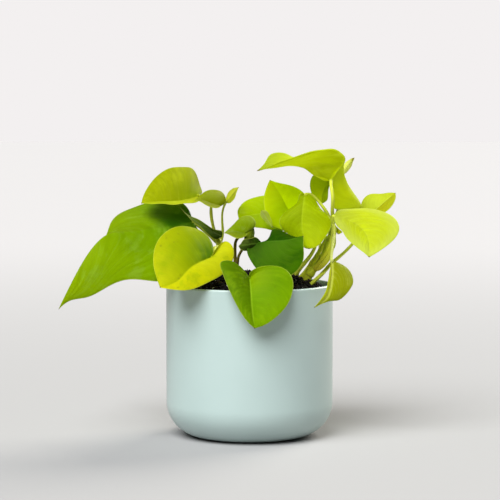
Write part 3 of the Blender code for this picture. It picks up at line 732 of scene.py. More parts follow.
leaves = {
    "leaf_big_left": {
        "rib": [(-48, -4, 180), (-65, -12, 177), (-83, -20, 175), (-100, -28, 173), (-115, -36, 172),
            (-124, -43, 166), (-134, -48, 153), (-144, -52, 135), (-156, -50, 111)],
        "left": [(-40, -14, 167), (-46, -30, 148), (-61, -40, 135), (-81, -46, 134), (-102, -50, 135),
            (-115, -52, 130), (-133, -51, 121), (-147, -51, 118)],
        "right": [(-52, 6, 191), (-66, 16, 198), (-84, 18, 196), (-97, 12, 192), (-108, 0, 187),
            (-115, -14, 180), (-118, -26, 172), (-123, -34, 162), (-131, -41, 150), (-139, -46, 136),
            (-148, -49, 122)],
        "lobe": 0.25, "crown": 0.06, "fold": 0.2, "sweep": 0.4,
        "leftTint": ((84, 130, 6), (124, 162, 0), (150, 176, 2)),
        "rightTint": ((56, 112, 14), (124, 156, 2), (156, 174, 0)),
        "vein": (150, 184, 60), "under": (150, 180, 60), "glow": (150, 190, 20),
        # the pale blotches and the strong streaks on this leaf partly paint the gloss sheen along its
        # veins
        "spread": (0.1, 0.3, 1.0), "blotch": (150, 184, 60), "blotchShow": 0.35, "mottleAndSheen": 0.5,
        "ribShow": 0.03,
    },
    "leaf_upper_left": {
        "rib": [(-44, 0, 201), (-54, -3, 198), (-65, -7, 197), (-77, -11, 197), (-90, -14, 196)],
        "left": [(-42, -14, 198), (-53, -24, 196), (-65, -29, 196), (-79, -24, 196)],
        "right": [(-40, 14, 204), (-43, 26, 211), (-49, 30, 224), (-57, 26, 225), (-67, 20, 224),
            (-77, 12, 219), (-85, 2, 209), (-89, -8, 201)],
        "slot": "lime_leaf", "leftTint": ((156, 166, 2), (174, 186, 6), (174, 190, 2)),
        "rightTint": ((120, 140, 2), (148, 160, 2), (162, 174, 2)),
        "vein": (196, 204, 60), "under": (186, 196, 60), "glow": (200, 205, 20), "blotch": (196, 206, 30),
        "blotchShow": 0.35, "specks": 0.6, "mottleAndSheen": 0.3, "rough": 0.66,
    },
    "leaf_small_left": {
        "rib": [(-31, -20, 195), (-36, -22, 198), (-45, -28, 199)],
        "left": [(-24, -28, 194), (-28, -33, 193), (-35, -34, 195), (-40, -32, 198)],
        "right": [(-23, -12, 194), (-20, -6, 199), (-23, -4, 205), (-29, -6, 207), (-36, -12, 206),
            (-42, -20, 202)],
        "lobe": 0.25, "crown": 0.06, "leftTint": ((128, 142, 2), (130, 138, 2), (142, 150, 2)),
        "rightTint": ((134, 146, 2), (138, 152, 2), (144, 154, 2)),
        "vein": (170, 184, 60), "under": (150, 168, 60), "glow": (170, 190, 20), "specks": 0.3,
        "rough": 0.55,
    },
    "leaf_tiny_upper": {
        "rib": [(-20, 0, 196), (-16, -2, 201), (-9, -4, 209)],
        "left": [(-20, 6, 199), (-17, 8, 205), (-13, 2, 208)],
        "right": [(-16, -6, 196), (-13, -8, 199), (-11, -8, 204)],
        "lobe": 0.15, "leftTint": ((194, 204, 34), (202, 204, 54), (192, 194, 62)),
        "rightTint": ((170, 176, 28), (156, 162, 34), (172, 174, 48)),
        "vein": (206, 214, 90), "under": (196, 206, 80), "glow": (200, 210, 40),
    },
    "leaf_yellow_front": {
        "rib": [(-31, -44, 153), (-40, -54, 150), (-50, -64, 144), (-58, -71, 136), (-72, -74, 131)],
        "left": [(-29, -45, 158), (-25, -43, 163), (-19, -40, 166), (-14, -42, 162), (-13, -44, 155),
            (-16, -48, 146), (-22, -55, 140), (-32, -63, 135), (-42, -71, 131), (-53, -77, 129),
            (-64, -78, 130)],
        "right": [(-30, -36, 161), (-35, -30, 170), (-44, -28, 176), (-55, -32, 178), (-68, -40, 174),
            (-76, -50, 165), (-78, -58, 154), (-77, -66, 145), (-74, -71, 136)],
        "slot": "lime_leaf", "fold": 0.6, "leftTint": ((206, 210, 22), (208, 210, 10), (208, 206, 14)),
        "rightTint": ((72, 118, 2), (144, 164, 2), (194, 198, 14)),
        "vein": (186, 200, 20), "under": (196, 206, 40), "glow": (205, 210, 0),
        "spread": (0.1, 0.46, 0.95), "blotch": (140, 166, 6), "blotchShow": 0.6, "specks": 0.4,
        "mottleAndSheen": 0.36, "veinShow": 0.2, "rough": 0.5,
    },
    "leaf_heart_front": {
        "rib": [(0, -66, 138), (1, -75, 129), (2, -81, 115), (4, -84, 99)],
        "left": [(0, -68, 142), (5, -67, 146), (14, -66, 148), (27, -65, 146), (34, -68, 139),
            (35, -74, 130), (31, -80, 119), (21, -85, 108), (12, -86, 102)],
        "right": [(-4, -66, 141), (-9, -63, 148), (-16, -62, 152), (-23, -64, 151), (-22, -70, 143),
            (-17, -77, 131), (-10, -82, 117), (-2, -85, 105)],
        "lobe": 0.22, "crown": 0.06, "sweep": 0.2,
        "leftTint": ((138, 168, 4), (112, 154, 2), (128, 168, 4)),
        "rightTint": ((88, 116, 2), (88, 122, 2), (120, 158, 4)),
        "vein": (150, 190, 30), "under": (140, 172, 30), "glow": (140, 190, 0), "blotch": (150, 184, 10),
        "blotchShow": 0.35, "specks": 0.3, "mottleAndSheen": 0.34, "ribShow": 0.7, "ribWide": 1.25,
    },
    "leaf_dark_middle": {
        "rib": [(0, -36, 164), (15, -40, 166), (29, -43, 167), (44, -47, 171)],
        "left": [(2, -31, 158), (7, -27, 152), (14, -23, 152), (18, -22, 158), (18, -22, 167),
            (19, -21, 174), (25, -23, 174), (33, -28, 171), (40, -38, 169)],
        "right": [(-2, -40, 159), (2, -46, 149), (10, -50, 140), (25, -52, 136), (38, -52, 142),
            (44, -52, 153), (44, -50, 163)],
        "slot": "dark_leaf", "sweep": 0.3, "leftTint": ((22, 58, 2), (32, 78, 2), (44, 84, 2)),
        "rightTint": ((22, 54, 2), (52, 102, 2), (70, 116, 2)),
        "vein": (108, 156, 40), "under": (96, 136, 30), "glow": (90, 150, 0), "spread": (0.0, 0.3, 1.0),
        "blotch": (20, 70, 4), "blotchShow": 0.5, "mottleAndSheen": 0.6, "veinShow": 0.1, "underShow": 0.15,
    },
    "leaf_small_middle": {
        "rib": [(-5, -22, 171), (-11, -24, 173), (-21, -26, 172)],
        "left": [(-2, -30, 171), (-5, -34, 169), (-9, -35, 168), (-15, -32, 170)],
        "right": [(1, -16, 173), (5, -12, 180), (1, -10, 185), (-7, -12, 184), (-14, -18, 178)],
        "lobe": 0.25, "crown": 0.06, "sweep": 0.2,
        "leftTint": ((120, 142, 4), (118, 140, 4), (136, 146, 28)),
        "rightTint": ((136, 162, 4), (128, 152, 2), (142, 164, 30)),
        "vein": (160, 184, 80), "under": (140, 164, 70), "glow": (140, 180, 30),
        "blotch": (170, 186, 100), "blotchShow": 0.3, "mottleAndSheen": 0.34, "rough": 0.55,
    },
    "leaf_back_middle": {
        "rib": [(28, 18, 184), (16, 15, 186), (3, 10, 185), (-9, 3, 182)],
        "left": [(34, 12, 179), (29, 6, 172), (17, 3, 173), (6, 0, 175), (-3, -1, 178)],
        "right": [(33, 28, 192), (23, 32, 200), (11, 30, 200), (0, 24, 198), (-8, 14, 192),
            (-10, 6, 187)],
        "lobe": 0.22, "slot": "lime_leaf", "sweep": 0.2,
        "leftTint": ((166, 194, 0), (148, 172, 2), (150, 172, 2)),
        "rightTint": ((160, 190, 0), (164, 186, 2), (180, 202, 2)),
        "vein": (190, 214, 50), "under": (176, 202, 50), "glow": (185, 215, 20),
    },
    "leaf_upright_middle": {
        "rib": [(39, 3, 179), (32, 2, 191), (25, 0, 204), (17, -2, 215)],
        "left": [(36, -1, 173), (26, -5, 174), (16, -7, 180), (13, -6, 189), (12, -4, 200),
            (14, -3, 208)],
        "right": [(46, 6, 181), (50, 8, 191), (45, 8, 204), (35, 5, 210), (26, 2, 212)],
        "crown": 0.015, "slot": "lime_leaf", "fold": 0.05,
        # the near-white tints, the right half's most of all, are partly painted light: raised to make up
        # for the dim light that falls on this upright leaf
        "leftTint": ((170, 198, 2), (184, 200, 6), (226, 226, 14)),
        "rightTint": ((206, 232, 4), (236, 252, 4), (238, 252, 6)),
        "vein": (196, 216, 40), "under": (176, 202, 20), "glow": (216, 244, 0), "blotch": (190, 212, 20),
        "blotchShow": 0.3, "ribShow": 0.02, "through": 0.45,
    },
    "leaf_broad_middle": {
        "rib": [(46, -8, 203), (44, -16, 190), (44, -22, 174), (49, -30, 159)],
        "left": [(50, -7, 203), (57, -9, 195), (63, -14, 188), (68, -18, 180), (65, -24, 172),
            (59, -29, 164), (53, -31, 160)],
        "right": [(43, -8, 204), (40, -9, 197), (30, -12, 189), (25, -15, 180), (29, -16, 173),
            (37, -18, 167), (42, -22, 163), (45, -26, 160)],
        "lobe": 0.12, "slot": "lime_leaf", "fold": 0.5, "sweep": 0.25,
        "leftTint": ((166, 186, 2), (160, 178, 2), (180, 194, 2)),
        "rightTint": ((152, 170, 2), (140, 158, 2), (168, 188, 6)),
        "vein": (188, 208, 40), "under": (168, 192, 20), "glow": (180, 208, 0), "blotch": (196, 214, 30),
        "blotchShow": 0.25, "mottleAndSheen": 0.34, "veinShow": 0.22,
    },
    "leaf_arched_top": {
        "rib": [(68, -6, 215), (71, -8, 220), (75, -8, 225), (78, -9, 229), (79, -10, 233),
            (76, -11, 237), (71, -12, 240), (63, -13, 240), (54, -14, 239), (43, -16, 236),
            (34, -17, 233), (22, -19, 229), (13, -20, 225), (6, -20, 223)],
        "left": [(69, -3, 205), (71, 3, 191), (83, 8, 190), (95, 12, 192), (93, 14, 197), (84, 13, 209),
            (79, 12, 218), (76, 11, 224), (71, 11, 230), (63, 11, 232), (53, 9, 233), (44, 3, 233),
            (37, -5, 234), (31, -8, 237), (24, -9, 238), (17, -11, 236), (13, -15, 230)],
        "right": [(64, -10, 214), (59, -15, 216), (52, -19, 220), (46, -22, 225), (37, -23, 227),
            (25, -22, 226), (15, -21, 225)],
        "lobe": 0.28, "crown": 0.03, "fold": 0.5, "sweep": 0.2,
        # the near-white tints are partly painted light: raised to cancel the shade where the strip
        # between the midrib and the left margin turns up and back; the over tint brings the upper face
        # back to a darker green
        "leftTint": ((238, 252, 14), (238, 252, 20), (98, 116, 50)),
        "rightTint": ((232, 248, 2), (164, 172, 2), (134, 144, 6)),
        "vein": (214, 224, 70), "under": (190, 202, 10), "glow": (236, 250, 8), "spread": (0.0, 0.3, 1.0),
        "over": (158, 176, 24), "blotch": (214, 222, 60), "blotchShow": 0.35, "mottleAndSheen": 0.3,
        "veinShow": 0.2, "tipBrown": 3.5, "through": 0.42,
    },
    "leaf_arched_lobe": {
        "rib": [(67, -5, 213), (64, 0, 209), (61, 1, 202), (61, 2, 195)],
        "left": [(67, -1, 211), (66, -1, 205), (65, 0, 198)],
        "right": [(60, 2, 220), (54, 4, 219), (51, 5, 212), (52, 5, 204), (55, 4, 198)],
        "leftTint": ((154, 182, 2), (150, 172, 2), (144, 160, 2)),
        "rightTint": ((184, 212, 2), (198, 216, 4), (206, 218, 6)),
        "vein": (170, 190, 40), "under": (140, 166, 0), "glow": (190, 210, 0), "through": 0.5,
    },
    "leaf_small_right": {
        "rib": [(100, 28, 184), (109, 27, 190), (116, 26, 196), (124, 24, 203)],
        "left": [(96, 34, 185), (96, 38, 194), (103, 38, 201), (112, 34, 202), (120, 28, 203)],
        "right": [(106, 20, 183), (114, 18, 186), (121, 18, 193), (124, 20, 199)],
        "crown": 0.06, "slot": "lime_leaf", "fold": 0.6, "sweep": 0.3,
        "leftTint": ((180, 188, 42), (198, 208, 50), (194, 200, 40)),
        "rightTint": ((160, 170, 16), (172, 168, 20), (172, 172, 34)),
        "vein": (214, 226, 90), "under": (194, 208, 60), "glow": (205, 222, 20), "mottleAndSheen": 0.3,
    },
    "leaf_bright_right": {
        "rib": [(70, -16, 186), (83, -20, 182), (95, -27, 173), (98, -42, 153)],
        "left": [(74, -11, 190), (84, -7, 191), (97, -5, 191), (112, -7, 189), (121, -13, 183),
            (124, -21, 175), (117, -31, 165), (107, -38, 158)],
        "right": [(71, -20, 180), (76, -28, 174), (83, -35, 165), (91, -40, 159)],
        "lobe": 0.15, "crown": 0.012, "slot": "lime_leaf", "fold": 0.15, "sweep": 0.3,
        "leftTint": ((168, 176, 50), (198, 206, 32), (194, 202, 44)),
        "rightTint": ((174, 180, 44), (182, 190, 24), (194, 204, 50)),
        "vein": (220, 232, 120), "under": (206, 220, 60), "glow": (210, 230, 20),
        "blotch": (216, 232, 20), "blotchShow": 0.3, "paleEdge": 0.2, "ribShow": 0.05,
    },
    "leaf_low_right": {
        "rib": [(67, -50, 150), (67, -54, 142), (66, -59, 133), (63, -64, 123), (52, -68, 114)],
        "left": [(72, -46, 149), (81, -44, 143), (85, -48, 134), (81, -54, 127), (74, -58, 120),
            (71, -60, 119), (66, -62, 119), (61, -65, 118)],
        "right": [(66, -52, 145), (64, -58, 137), (62, -63, 128), (57, -67, 120)],
        "lobe": 0.12, "crown": 0.06, "sweep": 0.8,
        "leftTint": ((154, 162, 8), (158, 168, 8), (150, 164, 4)),
        "rightTint": ((180, 186, 30), (168, 174, 28), (150, 160, 20)),
        "vein": (206, 212, 90), "under": (170, 182, 50), "glow": (190, 200, 10), "blotch": (200, 206, 80),
        "blotchShow": 0.4, "mottleAndSheen": 0.4, "veinShow": 0.34, "ribShow": 0.8, "ribWide": 2.2,
    },
    "leaf_new_rolled": {
        "rib": [(79, 21, 219), (83, 20, 226), (89, 20, 233)],
        "left": [(78, 24, 222), (81, 24, 228), (86, 23, 232)],
        "right": [(82, 24, 220), (86, 24, 225), (88, 23, 230)],
        "lobe": 0.1, "crown": 0.02, "leftTint": ((236, 242, 120), (236, 240, 140), (228, 230, 136)),
        "rightTint": ((246, 248, 150), (248, 248, 170), (240, 240, 150)),
        "vein": (224, 230, 150), "under": (212, 220, 120), "glow": (236, 240, 150), "ribShow": 0.2,
        "tipBrown": 5.0, "rough": 0.6, "through": 0.7,
    },
    "leaf_sheath_left": {
        "rib": [(-23, -9, 168), (-36, -14, 176), (-47, -16, 183), (-59, -17, 194)],
        "left": [(-28, -12, 166), (-34, -17, 170), (-42, -18, 177), (-49, -19, 183)],
        "right": [(-23, -7, 172), (-29, -11, 174), (-38, -13, 180), (-48, -15, 185)],
        "lobe": 0.1, "crown": 0.0, "slot": "sheath",
        "leftTint": ((34, 54, 8), (78, 104, 20), (118, 140, 46)),
        "rightTint": ((48, 70, 14), (92, 118, 26), (130, 150, 56)),
        "vein": (130, 146, 70), "under": (70, 88, 30), "glow": (90, 120, 20), "rough": 0.62,
    },
    "leaf_back_left": {
        "rib": [(-55, 36, 155), (-76, 50, 163), (-94, 62, 160), (-112, 70, 149)],
        "left": [(-52, 26, 148), (-68, 24, 144), (-88, 38, 142), (-103, 56, 144)],
        "right": [(-55, 46, 164), (-69, 62, 175), (-88, 76, 175), (-104, 78, 163)],
        "crown": 0.08, "leftTint": ((84, 128, 0), (112, 156, 0), (130, 166, 0)),
        "rightTint": ((76, 120, 0), (106, 150, 0), (128, 164, 0)),
        "vein": (148, 182, 60), "under": (146, 176, 60), "glow": (140, 185, 20),
    },
    "leaf_back_right": {
        "rib": [(45, 46, 180), (48, 64, 185), (52, 82, 178), (55, 96, 163)],
        "left": [(40, 40, 184), (31, 52, 183), (31, 72, 175), (43, 90, 164)],
        "right": [(52, 40, 185), (64, 52, 180), (68, 70, 171), (62, 88, 162)],
        "crown": 0.08, "leftTint": ((120, 158, 0), (142, 176, 0), (156, 184, 0)),
        "rightTint": ((110, 150, 0), (136, 170, 0), (150, 180, 0)),
        "vein": (168, 196, 60), "under": (160, 186, 60), "glow": (160, 200, 20),
    },
    "leaf_back_low": {
        "rib": [(23, 30, 150), (23, 50, 152), (22, 74, 140), (22, 92, 105)],
        "left": [(17, 25, 151), (10, 34, 148), (9, 58, 141), (13, 84, 122)],
        "right": [(28, 25, 151), (36, 34, 148), (37, 58, 141), (31, 84, 120)],
        "crown": 0.08, "leftTint": ((84, 128, 0), (108, 152, 0), (126, 162, 0)),
        "rightTint": ((80, 124, 0), (104, 148, 0), (122, 160, 0)),
        "vein": (148, 182, 60), "under": (140, 172, 60), "glow": (140, 185, 20),
    },
    "bract_middle": {
        "rib": [(10, -37, 164), (4, -39, 164), (-3, -39, 163), (-9, -37, 162)],
        "left": [(7, -37, 161), (3, -39, 158), (-2, -39, 158), (-7, -38, 159)],
        "right": [(8, -36, 167), (5, -35, 169), (0, -36, 168), (-5, -36, 167), (-7, -35, 164)],
        "lobe": 0.12, "crown": 0.06, "slot": "dark_leaf",
        "leftTint": ((20, 48, 2), (16, 34, 2), (66, 88, 26)),
        "rightTint": ((30, 66, 2), (20, 40, 2), (92, 112, 40)),
        "vein": (96, 130, 40), "under": (40, 70, 10), "glow": (30, 60, 0),
    },
    "bract_upper": {
        "rib": [(3, -14, 176), (1, -18, 171), (-1, -24, 164)],
        "left": [(4, -14, 173), (4, -17, 169), (3, -21, 165)],
        "right": [(0, -17, 174), (-3, -21, 171), (-4, -24, 166)],
        "lobe": 0.15, "crown": 0.06, "slot": "dark_leaf",
        "leftTint": ((56, 76, 4), (74, 90, 6), (60, 80, 4)),
        "rightTint": ((120, 148, 14), (128, 146, 16), (70, 96, 8)),
        "vein": (120, 140, 40), "under": (80, 104, 10), "glow": (90, 120, 0),
    },
    "bract_dry": {
        "rib": [(19, -19, 176), (15, -15, 182), (10, -14, 190)],
        "left": [(17, -18, 177), (12, -15, 182), (9, -14, 187)],
        "right": [(19, -17, 179), (17, -14, 185), (13, -14, 190)],
        "lobe": 0.15, "slot": "sheath", "leftTint": ((132, 152, 32), (154, 172, 54), (170, 182, 82)),
        "rightTint": ((136, 156, 30), (160, 178, 46), (176, 186, 74)),
        "vein": (180, 186, 120), "under": (140, 152, 80), "glow": (160, 184, 50), "tipBrown": 0.5,
    },
    "sheath_right": {
        "rib": [(70, -16, 180), (69, -16, 171), (68, -17, 162), (66, -17, 155), (61, -16, 148),
            (55, -15, 139)],
        "left": [(72, -14, 175), (72, -15, 167), (71, -16, 160), (68, -16, 152), (64, -16, 145),
            (58, -15, 140)],
        "right": [(68, -14, 175), (67, -15, 167), (65, -16, 160), (61, -16, 154), (57, -16, 147),
            (53, -15, 141)],
        "lobe": 0.1, "crown": 0.12, "slot": "sheath",
        "leftTint": ((226, 232, 110), (214, 220, 70), (186, 170, 60)),
        "rightTint": ((226, 232, 100), (222, 226, 60), (180, 166, 50)),
        "vein": (210, 216, 90), "under": (200, 208, 40), "glow": (214, 220, 40), "mottleAndSheen": 0.3,
        "veinShow": 0.3,
    },
    "sheath_fold": {
        "rib": [(71, -9, 178), (73, -10, 174), (74, -12, 170)],
        "left": [(75, -12, 174), (77, -14, 172)],
        "right": [(71, -9, 175), (72, -11, 172)],
        # painted light: these pale lime tints are raised to make up for the shade the fold sits in
        "lobe": 0.15, "slot": "sheath", "leftTint": ((190, 198, 10), (206, 212, 14), (222, 226, 20)),
        "rightTint": ((190, 198, 10), (198, 204, 10), (204, 208, 16)),
        "vein": (180, 190, 40), "under": (150, 160, 0), "glow": (190, 196, 10),
    },
}

blade = {  # what holds for every leaf whose own table doesn't say otherwise
    "rows": 84,
    "columns": 20,  # on each side of the midrib
    "half": 0.24,  # half the thickness
    "edge": 0.1,  # half the thickness at the margin
    "edgeReach": 1.6,  # from the margin to the full thickness
    "keel": 0.75,  # how far the midrib stands proud below
    "keelReach": 0.75,
    "channel": 0.5,  # how deep it is sunk above
    "channelReach": 1.1,
    "fold": 1.0,  # share of that depth
    "pleat": 0.14,  # depth of the hollows over the side veins
    "wave": 0.55,  # of the margin
    "lobe": 0.2,  # share of a margin whose veins all leave the joint
    "crown": 0.05,  # how far a half arches above its chord
    "veins": 10,
    "sweep": 0.07,  # how far a side vein turns towards the tip
    "streaks": 30,  # fine streaks that run with the side veins, partly mottling and partly painted sheen
    "slot": "leaf",
    "spread": (0.05, 0.5, 1.0),  # where the three tints stand
    "mottleAndSheen": 0.22,
    "veinShow": 0.12,
    "ribShow": 0.35,
    "ribWide": 0.95,
    "underShow": 0.3,
    "overShow": 0.75,
    "rimShow": 0.5,
    "tipBrown": 1.2,  # length of the dry tip
    "rough": 0.4,
    "relief": 0.25,
    "through": 0.4,  # share of light that comes through
    "rim": (206, 216, 80),
    "edgeTint": (224, 232, 140),
    "speck": (96, 84, 20),
    "dry": (120, 92, 44),
    "cloudScale": 34,
    "fleckScale": 240,
    "poreScale": 620,
    "blotchScale": 62,
    "speckScale": 150,
    "speckPatches": 75,
}


def halfBlade(leaf, side, share, across):
    # row s joins the midrib at u(s) to the margin at s; the half arches over that chord by
    # crown * chord * 4 t (1 - t) towards the upper face
    rib = leaf["rib"]
    margin = spline([rib[0]] + leaf[side] + [rib[-1]], share)
    along = np.clip((share - leaf["lobe"]) / (1 - leaf["lobe"]), 0, 1) ** 1.1
    middle = spline(rib, along)
    ahead = unit(spline(rib, np.minimum(along + 0.02, 1)) - spline(rib, np.maximum(along - 0.02, 0)))
    chord = margin - middle
    turn = 1 if side == "left" else -1
    near = bell(share[:, None] - share[None], 0.12)
    up = unit(near @ (np.cross(ahead, chord) * turn))
    flat = unit(chord)
    up = unit(up - (up * flat).sum(1, keepdims=True) * flat)
    width = np.linalg.norm(chord, axis=1)
    arch = leaf["crown"] * 4 * across * (1 - across)
    grid = middle[:, None] + chord[:, None] * across[:, None] + up[:, None] * (
        width[:, None] * arch)[..., None]
    return grid, width[:, None] * across, along


def pointNormals(points, faces):
    # the normals of the faces round a point, summed by area
    corners = points[faces]
    area = np.cross(corners[:, 1] - corners[:, 0], corners[:, 2] - corners[:, 0])
    total = np.zeros_like(points)
    np.add.at(total, faces.ravel(), np.repeat(area, 3, axis=0))
    return unit(total)


def stacked(*faces):
    # lists of point numbers, one for each corner, to rows of faces
    return np.concatenate([np.stack(face, -1) for face in faces])


def bladeSkin(leaf, seed):
    # a closed thin body from the sheet P(s, t), t from -1 at the right margin to 1 at the left:
    # P +- n * half thickness, with the midrib sunk above and proud below, the fields between the
    # side veins puffed up, the margin waved, and a rounded rim
    rows, columns = leaf["rows"], leaf["columns"]
    share = np.linspace(0, 1, rows) ** 0.96
    across = np.linspace(0, 1, columns + 1) ** 1.25
    left, leftGap, along = halfBlade(leaf, "left", share, across)
    right, rightGap, _ = halfBlade(leaf, "right", share, across)
    sheet = np.concatenate([right[:, :0:-1], left], axis=1)
    ribGap = np.concatenate([rightGap[:, :0:-1], leftGap], axis=1)
    turn = np.concatenate([-across[:0:-1], across])
    wide = len(turn)
    width = np.where(turn < 0, rightGap[:, -1:], leftGap[:, -1:])
    edgeGap = width * (1 - np.abs(turn))
    s = np.repeat(share[:, None], wide, axis=1)
    t = np.repeat(turn[None], rows, axis=0)
    u = np.repeat(along[:, None], wide, axis=1)

    # the first and last rows, and the midrib of the lobed rows, each come down to one point
    home = np.arange(rows * wide).reshape(rows, wide)
    joint, tip = columns, (rows - 1) * wide + columns
    home[0] = joint
    home[-1] = tip
    home[share <= leaf["lobe"], columns] = joint
    quads = gridFaces(rows, wide, False)[:, [0, 3, 2, 1]]
    triangles = np.concatenate([quads[:, [0, 1, 2]], quads[:, [0, 2, 3]]])
    merged = home.ravel()[triangles]
    whole = ((merged[:, 0] != merged[:, 1]) & (merged[:, 1] != merged[:, 2])
             & (merged[:, 2] != merged[:, 0]))
    triangles, merged = triangles[whole], merged[whole]
    used, where = np.unique(home.ravel(), return_inverse=True)
    faces = where[merged]
    points = sheet.reshape(-1, 3)[used]
    normals = pointNormals(points, faces)

    # relief, smaller on a leaf under 60 mm long
    length = np.linalg.norm(np.diff(sheet[:, columns], axis=0), axis=1).sum()
    small = min(1.0, length / 60)
    phase = (s - leaf["sweep"] * t * t) * leaf["veins"]
    field = np.sin(math.pi * phase) ** 2 * np.clip(4 * np.abs(t) * (1 - np.abs(t)), 0, 1)
    sink = bell(ribGap, leaf["channelReach"]) * np.clip(1.15 - u, 0, 1)
    random = np.random.default_rng(seed)
    beat, start = random.uniform(2.2, 3.6), random.uniform(0, 2 * math.pi, 2)
    wave = np.abs(t) ** 3 * np.sin(2 * math.pi * beat * s + np.where(t < 0, *start))
    lift = ((field * leaf["pleat"] - sink * leaf["channel"] * leaf["fold"]) * small
            + wave * leaf["wave"] * small * np.sin(math.pi * s))
    swollen = np.clip(edgeGap / leaf["edgeReach"], 0, 1)
    thick = leaf["edge"] + (leaf["half"] - leaf["edge"]) * swollen
    keel = bell(ribGap, leaf["keelReach"]) * leaf["keel"] * np.clip(1.1 - u, 0, 1) * small

    def point(values):
        return values.ravel()[used][:, None]

    points = points + normals * point(lift)
    normals = pointNormals(points, faces)
    top = points + normals * point(thick)
    under = points - normals * point(thick + keel)

    # the rim: a strip from the top's border over one more row of points to the underside's
    loop = np.concatenate([home[:, -1], home[-2:0:-1, 0]])
    flatLoop = np.concatenate([np.arange(rows) * wide + wide - 1, np.arange(rows - 2, 0, -1) * wide])
    inner = np.concatenate([home[:, -2], home[-2:0:-1, 1]])
    border, within = where[loop], where[inner]
    outward = unit(points[border] - points[within])
    outward[0] = unit(points[border[0]] - sheet[3, columns + 1])
    outward[rows - 1] = unit(sheet[-1, columns] - sheet[-4, columns])
    rim = points[border] + outward * leaf["edge"] * 1.2
    count = len(points)
    here = np.arange(len(border))
    beside = (here + 1) % len(border)
    a, b, c, d = border, border[beside], here + 2 * count, beside + 2 * count
    rimFaces = stacked((a, b, d), (a, d, c), (c, d, b + count), (c, b + count, a + count))
    a, b = flatLoop, flatLoop[beside]
    rimCorners = stacked((a, b, b), (a, b, a), (a, b, b), (a, b, a))
    every = np.concatenate([faces, faces[:, ::-1] + count, rimFaces])
    corners = np.concatenate([triangles, triangles[:, ::-1], rimCorners]).ravel()
    fromJoint = np.linalg.norm(sheet - sheet[0, columns], axis=-1)
    fields = {"row": s, "turn": t, "reach": fromJoint / fromJoint[-1, columns],
              "ribGap": ribGap, "edgeGap": edgeGap,
              "tipGap": np.linalg.norm(sheet - sheet[-1, columns], axis=-1)}
    marks = {mark: values.ravel()[corners] for mark, values in fields.items()}
    marks["upper"] = np.repeat([1, 0, 0.5], [faces.size, faces.size, rimFaces.size])
    return np.concatenate([top, under, rim]), every, marks


